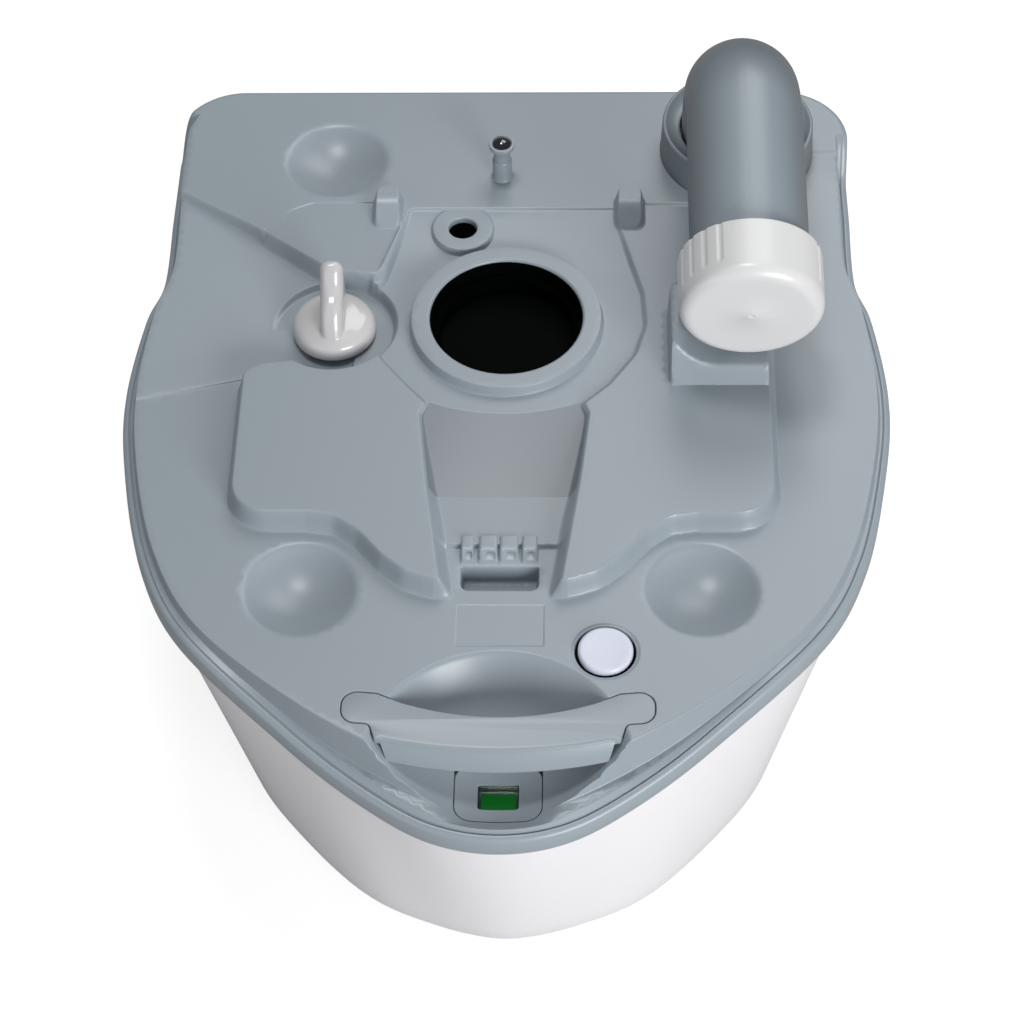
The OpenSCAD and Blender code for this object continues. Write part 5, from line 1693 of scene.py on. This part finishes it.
@dataclass
class Spout:
    """Pour-out spout: collar on the deck, bent tube and screw cap."""

    tube_r: float = 29.28
    bore_r: float = 26.3
    flange_r: float = 37.8
    flange_z: float = 213.3
    flange_t: float = 3.4
    bend_r: float = 38.0
    bend_z: float = 230.8
    tilt: float = 8.0
    run: float = 113.0
    bend_steps: int = 28
    run_steps: int = 6
    thread_r: float = 0.9
    collar_r: float = 40.5
    collar_h: float = 20.0
    collar_seat_r: float = 38.9
    collar_seat_z: float = 217.3
    mouth_r: float = 30.4
    cap_r: float = 35.3
    cap_l: float = 32.6
    cap_bore: float = 31.2
    cap_edge: float = 6.4
    face: float = 117.9
    seam: float = 0.1
    segments: int = 180

    @property
    def turn(self) -> float:
        """Turn of the bend in degrees."""
        return 90 + self.tilt

    def bend(self, angle: float) -> np.ndarray:
        """Middle of the tube at an angle of the bend, in radians."""
        (x, y), r = SIZES.spout, self.bend_r
        return np.array([x, y - r + r * math.cos(angle), self.bend_z + r * math.sin(angle)])

    def place(self) -> Matrix:
        """Matrix in metres of the tube's front run, its Z along the run."""
        turn = math.radians(self.turn)
        return Matrix.Translation(Vector(self.bend(turn)) * MM) @ Matrix.Rotation(turn, 4, "X")

    def ring(self, way: float, radius: float) -> np.ndarray:
        """Ring of the tube at a way along it, with a fine seam along the top of its outside.

        Args:
            way: Height below the bend where negative, degrees in the bend, then run beyond it.
            radius: Radius of the ring.

        Returns:
            Points of the ring.
        """
        a = math.radians(min(max(way, 0.0), self.turn))
        along, up = np.array([0, -math.sin(a), math.cos(a)]), np.array([0, math.cos(a), math.sin(a)])
        centre = self.bend(a) + along * (min(way, 0.0) + max(way - self.turn, 0.0))
        t = 2 * math.pi * np.arange(self.segments)[:, None] / self.segments
        radii = np.full((self.segments, 1), radius)
        radii[self.segments // 4] += self.seam * (radius > self.bore_r + 1)
        return centre + radii * (np.cos(t) * np.array([1.0, 0, 0]) + np.sin(t) * up)

    def elbow(self) -> None:
        """Builds the bent tube with its flange and its screw thread."""
        r, bore, turn = self.tube_r, self.bore_r, self.turn
        low, end = self.flange_z - self.bend_z, turn + self.run
        neck = low + self.flange_t
        ways = [turn * k / self.bend_steps for k in range(self.bend_steps)]
        ways += [turn + self.run * k / self.run_steps for k in range(self.run_steps)]
        outer = [(low, self.flange_r), (neck, self.flange_r), (neck + 0.2, r)] + [(w, r) for w in ways]
        mouth = [(end - 0.8, r), (end - 0.2, r - 0.3), (end, r - 0.9), (end, bore + 0.5), (end - 0.5, bore)]
        inner = [(w, bore) for w in ways[::-1]] + [(low, bore)]
        rings = [self.ring(*step) for step in outer + mouth + inner]
        obj = put(Sheet().loft(rings, closed=True).mesh("spout_skin"), GREY_SPOUT, 40)
        obj.data.transform(self.place().inverted())
        helix_thread().grow(obj, GREY_SPOUT, Turns=2.4, Radius=(r + 0.1) * MM, Height=12 * MM,
                            Start=(self.run - 16) * MM, Thickness=self.thread_r * MM)
        obj.data.transform(self.place())
        seat(dress(obj, GREY_SPOUT, 40), "spout", "grey_spout", "spout_elbow")

    def collar(self) -> None:
        """Builds the round collar with its flared mouth."""
        r, seat_r, seat_z, mouth_r = self.collar_r, self.collar_seat_r, self.collar_seat_z, self.mouth_r
        foot, top = SIZES.rear_z + 0.15, SIZES.rear_z + self.collar_h
        rim = [(r - 1.0, top - 1.4), (r - 1.2, top - 0.6), (r - 1.6, top - 0.15), (r - 2.1, top),
               (r - 2.6, top - 0.1)]
        flare = [(mouth_r + 0.5 + 6.6 * t, top - 3.4 + 3.0 * t**1.8) for t in np.linspace(1, 0, 9)]
        profile = [(seat_r, foot), (r - 0.1, foot), (r, foot + 0.3), (r - 0.3, foot + 2), *rim, *flare,
                   (mouth_r, top - 3.8), (mouth_r, seat_z), (seat_r, seat_z)]
        mesh = Sheet().lathe(profile, 144).mesh("collar_skin", (*SIZES.spout, 0))
        seat(put(mesh, GREY_SPOUT, 38), "tank", "grey_spout", "spout_collar")

    def cap(self) -> None:
        """Builds the screw cap with its two groups of grip flutes and the gate mark on its face."""
        r, edge, length, bore = self.cap_r, self.cap_edge, self.cap_l, self.cap_bore
        wall = [(r, z) for z in np.linspace(1.2, length - edge, 34)]
        bend = arc((r - edge, length - edge), edge, 8, 84, 9)
        face = [(r - edge - 0.9, length), (20.0, length - 0.12), (2.6, length - 0.2), (2.3, length - 0.05),
                (1.8, length), (1.3, length - 0.1), (0.9, length - 0.35), (0, length - 0.4)]
        inside = [(0, length - 3), (bore, length - 3), (bore, 0.5), (bore + 0.4, 0)]
        profile = [(r - 0.6, 0.0), (r - 0.15, 0.15), (r, 0.6), *wall, *bend, *face, *inside]
        obj = put(Sheet().lathe(profile, 480).mesh("cap_skin"), CAP_WHITE, 40)
        grip_flutes().grow(obj, CAP_WHITE, Groups=2.0, Half_Count=3.0, Step=math.radians(14.5),
                           Turn=math.radians(-19), Flute_Radius=2.6 * MM, Depth=0.62 * MM, Length=21 * MM,
                           Inner_Radius=(r - 1) * MM)
        obj.data.transform(self.place() @ Matrix.Translation((0, 0, (self.face - length) * MM)))
        seat(dress(obj, CAP_WHITE, 30), "cap", "white_gloss", "spout_cap")

    def build(self) -> None:
        """Builds the three pieces."""
        self.collar()
        self.elbow()
        self.cap()


@dataclass
class SealSleeve:
    """Black sleeve of the lip seal inside the opening's ring."""

    outer_r: float = 38.6
    inner_r: float = 37.6
    foot: float = 193.6
    top: float = 207.6

    def build(self) -> None:
        """Builds the turned sleeve with a rounded upper edge."""
        outer, r, top = self.outer_r, self.inner_r, self.top
        profile = [(outer, self.foot), (outer, top - 0.3), (outer - 0.3, top), (r + 0.4, top), (r, top - 0.4),
                   (r, self.foot)]
        mesh = Sheet().lathe(profile, 144).mesh("seal_sleeve", (*SIZES.opening, 0))
        seat(put(mesh, BLACK_RUBBER, 40), "tank", "black_rubber")


@dataclass
class Fittings:
    """Small turned fittings of the deck: vent button, latch post and its ball."""

    button_r: float = 12.9
    button_z: float = 191.0
    button_h: float = 4.0
    button_edge: float = 1.5
    post_r: float = 5.1
    spigot_r: float = 3.9
    neck_r: float = 4.3
    cup_r: float = 6.85
    ball_z: float = 228.7
    ball_r: float = 5.8
    ball_cut: float = 0.25

    def button(self) -> None:
        """Builds the press button with its soft edge and faintly dished top."""
        r, h, edge = self.button_r, self.button_h, self.button_edge
        profile = [(0, 0), (r - 0.4, 0), (r, 0.4), *arc((r - edge, h - edge), edge, 0, 90, 8),
                   (r - 3.0, h - 0.08), (7, h - 0.22), (0, h - 0.3)]
        mesh = Sheet().lathe(profile, 96).mesh("button_skin", (*SIZES.vent, self.button_z))
        seat(put(mesh, BUTTON_WHITE, 38), "vent", "button_white", "vent_button")

    def post(self) -> None:
        """Builds the latch post: foot, waist and the cup that holds the ball."""
        r, neck, rim, spigot = self.post_r, self.neck_r, self.cup_r, self.spigot_r
        foot, top = SIZES.rear_z, self.ball_z + self.ball_r - 1.8
        cup = arc((0.08, self.ball_z), self.ball_r, 41, 15, 4)[1:]
        stem = [(0, foot - 5.7), (spigot, foot - 5.7), (spigot, foot + 0.08), (r + 0.9, foot + 0.08),
                (r + 0.35, foot + 0.5), (r + 0.05, foot + 1.4), (r, foot + 3), (r, foot + 11.6),
                (r - 0.15, foot + 12.1), (neck + 0.05, foot + 12.7)]
        head = [(neck, top - 5.6), (neck + 0.4, top - 5.0), (neck + 1.3, top - 4.1), (rim - 0.35, top - 2.9),
                (rim, top - 1.6), (rim, top - 0.5), (rim - 0.25, top - 0.1), (rim - 0.65, top),
                (rim - 1.45, top - 0.1)]
        profile = [*stem, *head, *cup, (0, self.ball_z + 1.4)]
        mesh = Sheet().lathe(profile, 72).mesh("post_skin", (*SIZES.latch, 0))
        seat(put(mesh, GREY_DECK, 38), "tank", "grey_deck", "latch_post")

    def ball(self) -> None:
        """Builds the polished ball head, flat where it sits in the cup."""
        start = math.degrees(math.asin(self.ball_cut))
        profile = [(0, self.ball_cut * self.ball_r), *arc((0, 0), self.ball_r, start, 90, 19)]
        mesh = Sheet().lathe(profile, 72).mesh("ball_skin", (*SIZES.latch, self.ball_z))
        seat(put(mesh, CHROME, 60), "tank", "steel", "latch_ball")

    def build(self) -> None:
        """Builds the three pieces."""
        self.button()
        self.post()
        self.ball()


@dataclass
class Handle:
    """Carry bar across the finger well with its two ears and its front skirt."""

    top: float = 193.0
    plate: float = 4.0
    bevel: float = 2.3
    bevel_drop: float = 1.15
    skirt: float = 12.0
    skirt_top: float = 1.3
    lean: float = 4.5
    end_slope: float = 3.0
    wall: float = 3.0
    half: float = 53.5

    def ring(self, path: Loop, share: float, drop: float) -> np.ndarray:
        """Ring of the plate's edge rounding, wider along the bar's front.

        Args:
            path: Outline of the plate.
            share: How far across the rounding, 0 at the outline.
            drop: Depth under the top as a share of the rounding's depth.

        Returns:
            Points of the ring.
        """
        x, y = path.T
        front = (np.abs(y - bar_front(x)) < 0.4) & (np.abs(x) < self.half)
        run, deep = np.where(front, self.bevel, 0.5), np.where(front, self.bevel_drop, 0.4)
        return lifted(path - (run * share)[:, None] * normals_of(path), self.top - deep * drop)

    def build(self) -> None:
        """Builds the handle as one piece: the plate with its ears, and the skirt along the bar's front."""
        path = handle_outline(0.0)
        turns = np.radians((0, 15, 35, 60, 90))
        plate = [self.ring(path, 1 - math.cos(a), 1 - math.sin(a)) for a in turns]
        x = np.linspace(-self.half, self.half, 41)
        rows = []
        for t in (1.0, 0.94, 0.5, 0.06, 0.0):
            tuck = 0.35 if t in (0.0, 1.0) else 0.0
            z = self.top - self.skirt_top - (self.skirt - self.skirt_top) * t
            narrowed = x * (1 - self.end_slope * t / self.half)
            face = np.column_stack([narrowed, bar_front(x) - self.lean * t + tuck])
            rows.append(lifted(np.concatenate([face, face[::-1] + (0, self.wall - 2 * tuck)]), z))
        sheet = Sheet().loft([lifted(path, self.top - self.plate)] + plate).loft(rows)
        seat(put(sheet.mesh("handle_skin"), GREY_DECK, 34), "tank", "grey_deck", "carry_handle")


# Stage


@dataclass(frozen=True)
class Lamp:
    """Soft square lamp; place, aim and size in metres, power in watts."""

    name: str
    place: tuple[float, float, float]
    aim: tuple[float, float, float]
    size: float
    power: float

    def build(self) -> None:
        """Puts the lamp in the scene."""
        light = bpy.data.lights.new(self.name, "AREA")
        light.shape = "SQUARE"
        light.size = self.size
        light.energy = self.power
        obj = bpy.data.objects.new(self.name, light)
        obj.location = self.place
        obj.rotation_euler = (Vector(self.aim) - Vector(self.place)).to_track_quat("-Z", "Y").to_euler()
        bpy.context.scene.collection.objects.link(obj)


@dataclass
class Stage:
    """Floor, lights and the camera at the photograph's viewing angle."""

    half_floor: float = 4000.0
    floor_tone: float = 0.38
    seen_tone: float = 0.3
    seen_glow: float = 0.8
    picture_px: float = 1024.0
    focal_px: float = 2659.7
    sensor: float = 36.0
    pitch: float = 51.439
    yaw: float = 2.305
    roll: float = -1.726
    eye: tuple[float, float, float] = (36.7, -856.25, 1196.9)
    sky: tuple[float, float, float] = (0.95, 0.97, 1.0)
    sky_strength: float = 0.25
    lamps: tuple[Lamp, ...] = (
        Lamp("behind", (0.45, 1.25, 1.75), (0, 0, 0.2), 1.1, 14),
        Lamp("overhead", (-0.15, 0.40, 2.3), (0, 0, 0.2), 0.45, 15),
        Lamp("front_right", (1.25, -2.05, 0.8), (0, 0, 0.15), 1.1, 58),
        Lamp("left", (-1.7, -1.6, 0.7), (0, 0, 0.15), 1.4, 7),
    )

    def floor(self) -> None:
        """Builds the pale floor, which the camera sees a little brighter than the lamps make it."""
        h = self.half_floor
        mesh = Sheet().add([(-h, -h, 0), (h, -h, 0), (h, h, 0), (-h, h, 0)], [(0, 1, 2, 3)]).mesh("floor")
        mat, g = new_material("pale_floor")
        seen = g.node("ShaderNodeLightPath").outputs["Is Camera Ray"]
        tones = {"Value": seen, "To Min": self.floor_tone, "To Max": self.seen_tone}
        g.fill(mat.node_tree.nodes["Principled BSDF"], {
            "Base Color": g.node("ShaderNodeMapRange", tones).outputs[0],
            "Roughness": 1.0,
            "Specular IOR Level": 0.0,
            "Emission Color": (*[self.seen_glow] * 3, 1.0),
            "Emission Strength": seen,
        })
        mesh.materials.append(mat)
        obj = bpy.data.objects.new("floor", mesh)
        bpy.context.scene.collection.objects.link(obj)

    def camera(self) -> None:
        """Builds the camera from the angles that were fitted to the photograph."""
        pitch, yaw, roll = (math.radians(a) for a in (self.pitch, self.yaw, self.roll))
        level = Vector((math.cos(yaw), math.sin(yaw), 0))
        north = Vector((-math.sin(yaw), math.cos(yaw), 0))
        ahead = north * math.cos(pitch) - Vector((0, 0, math.sin(pitch)))
        above = level.cross(ahead)
        right = math.cos(roll) * level + math.sin(roll) * above
        up = -math.sin(roll) * level + math.cos(roll) * above
        cam = bpy.data.cameras.new("camera")
        cam.sensor_width = self.sensor
        cam.lens = self.focal_px / self.picture_px * self.sensor
        cam.clip_start = 0.05
        obj = bpy.data.objects.new("camera", cam)
        turn = Matrix((right, up, -ahead)).transposed().to_4x4()
        obj.matrix_world = Matrix.Translation(Vector(self.eye) * MM) @ turn
        bpy.context.scene.collection.objects.link(obj)
        bpy.context.scene.camera = obj

    def build(self) -> None:
        """Builds the whole stage."""
        self.floor()
        self.camera()
        for lamp in self.lamps:
            lamp.build()
        world = bpy.data.worlds.new("room")
        world.use_nodes = True
        room = {"Color": (*self.sky, 1.0), "Strength": self.sky_strength}
        Graph(world.node_tree).fill(world.node_tree.nodes["Background"], room)
        bpy.context.scene.world = world
        bpy.context.scene.view_settings.view_transform = "Standard"


def main() -> None:
    """Builds every piece and reports it."""
    logging.basicConfig(level=logging.INFO, format="%(message)s")
    Stage().build()
    dress_nodes()
    Body().build()
    Deck(DeckSurface(SIZES)).build()
    for piece in (Comb(), Knob(), Spout(), SealSleeve(), Fittings(), Handle()):
        piece.build()


if __name__ == "__main__":
    main()
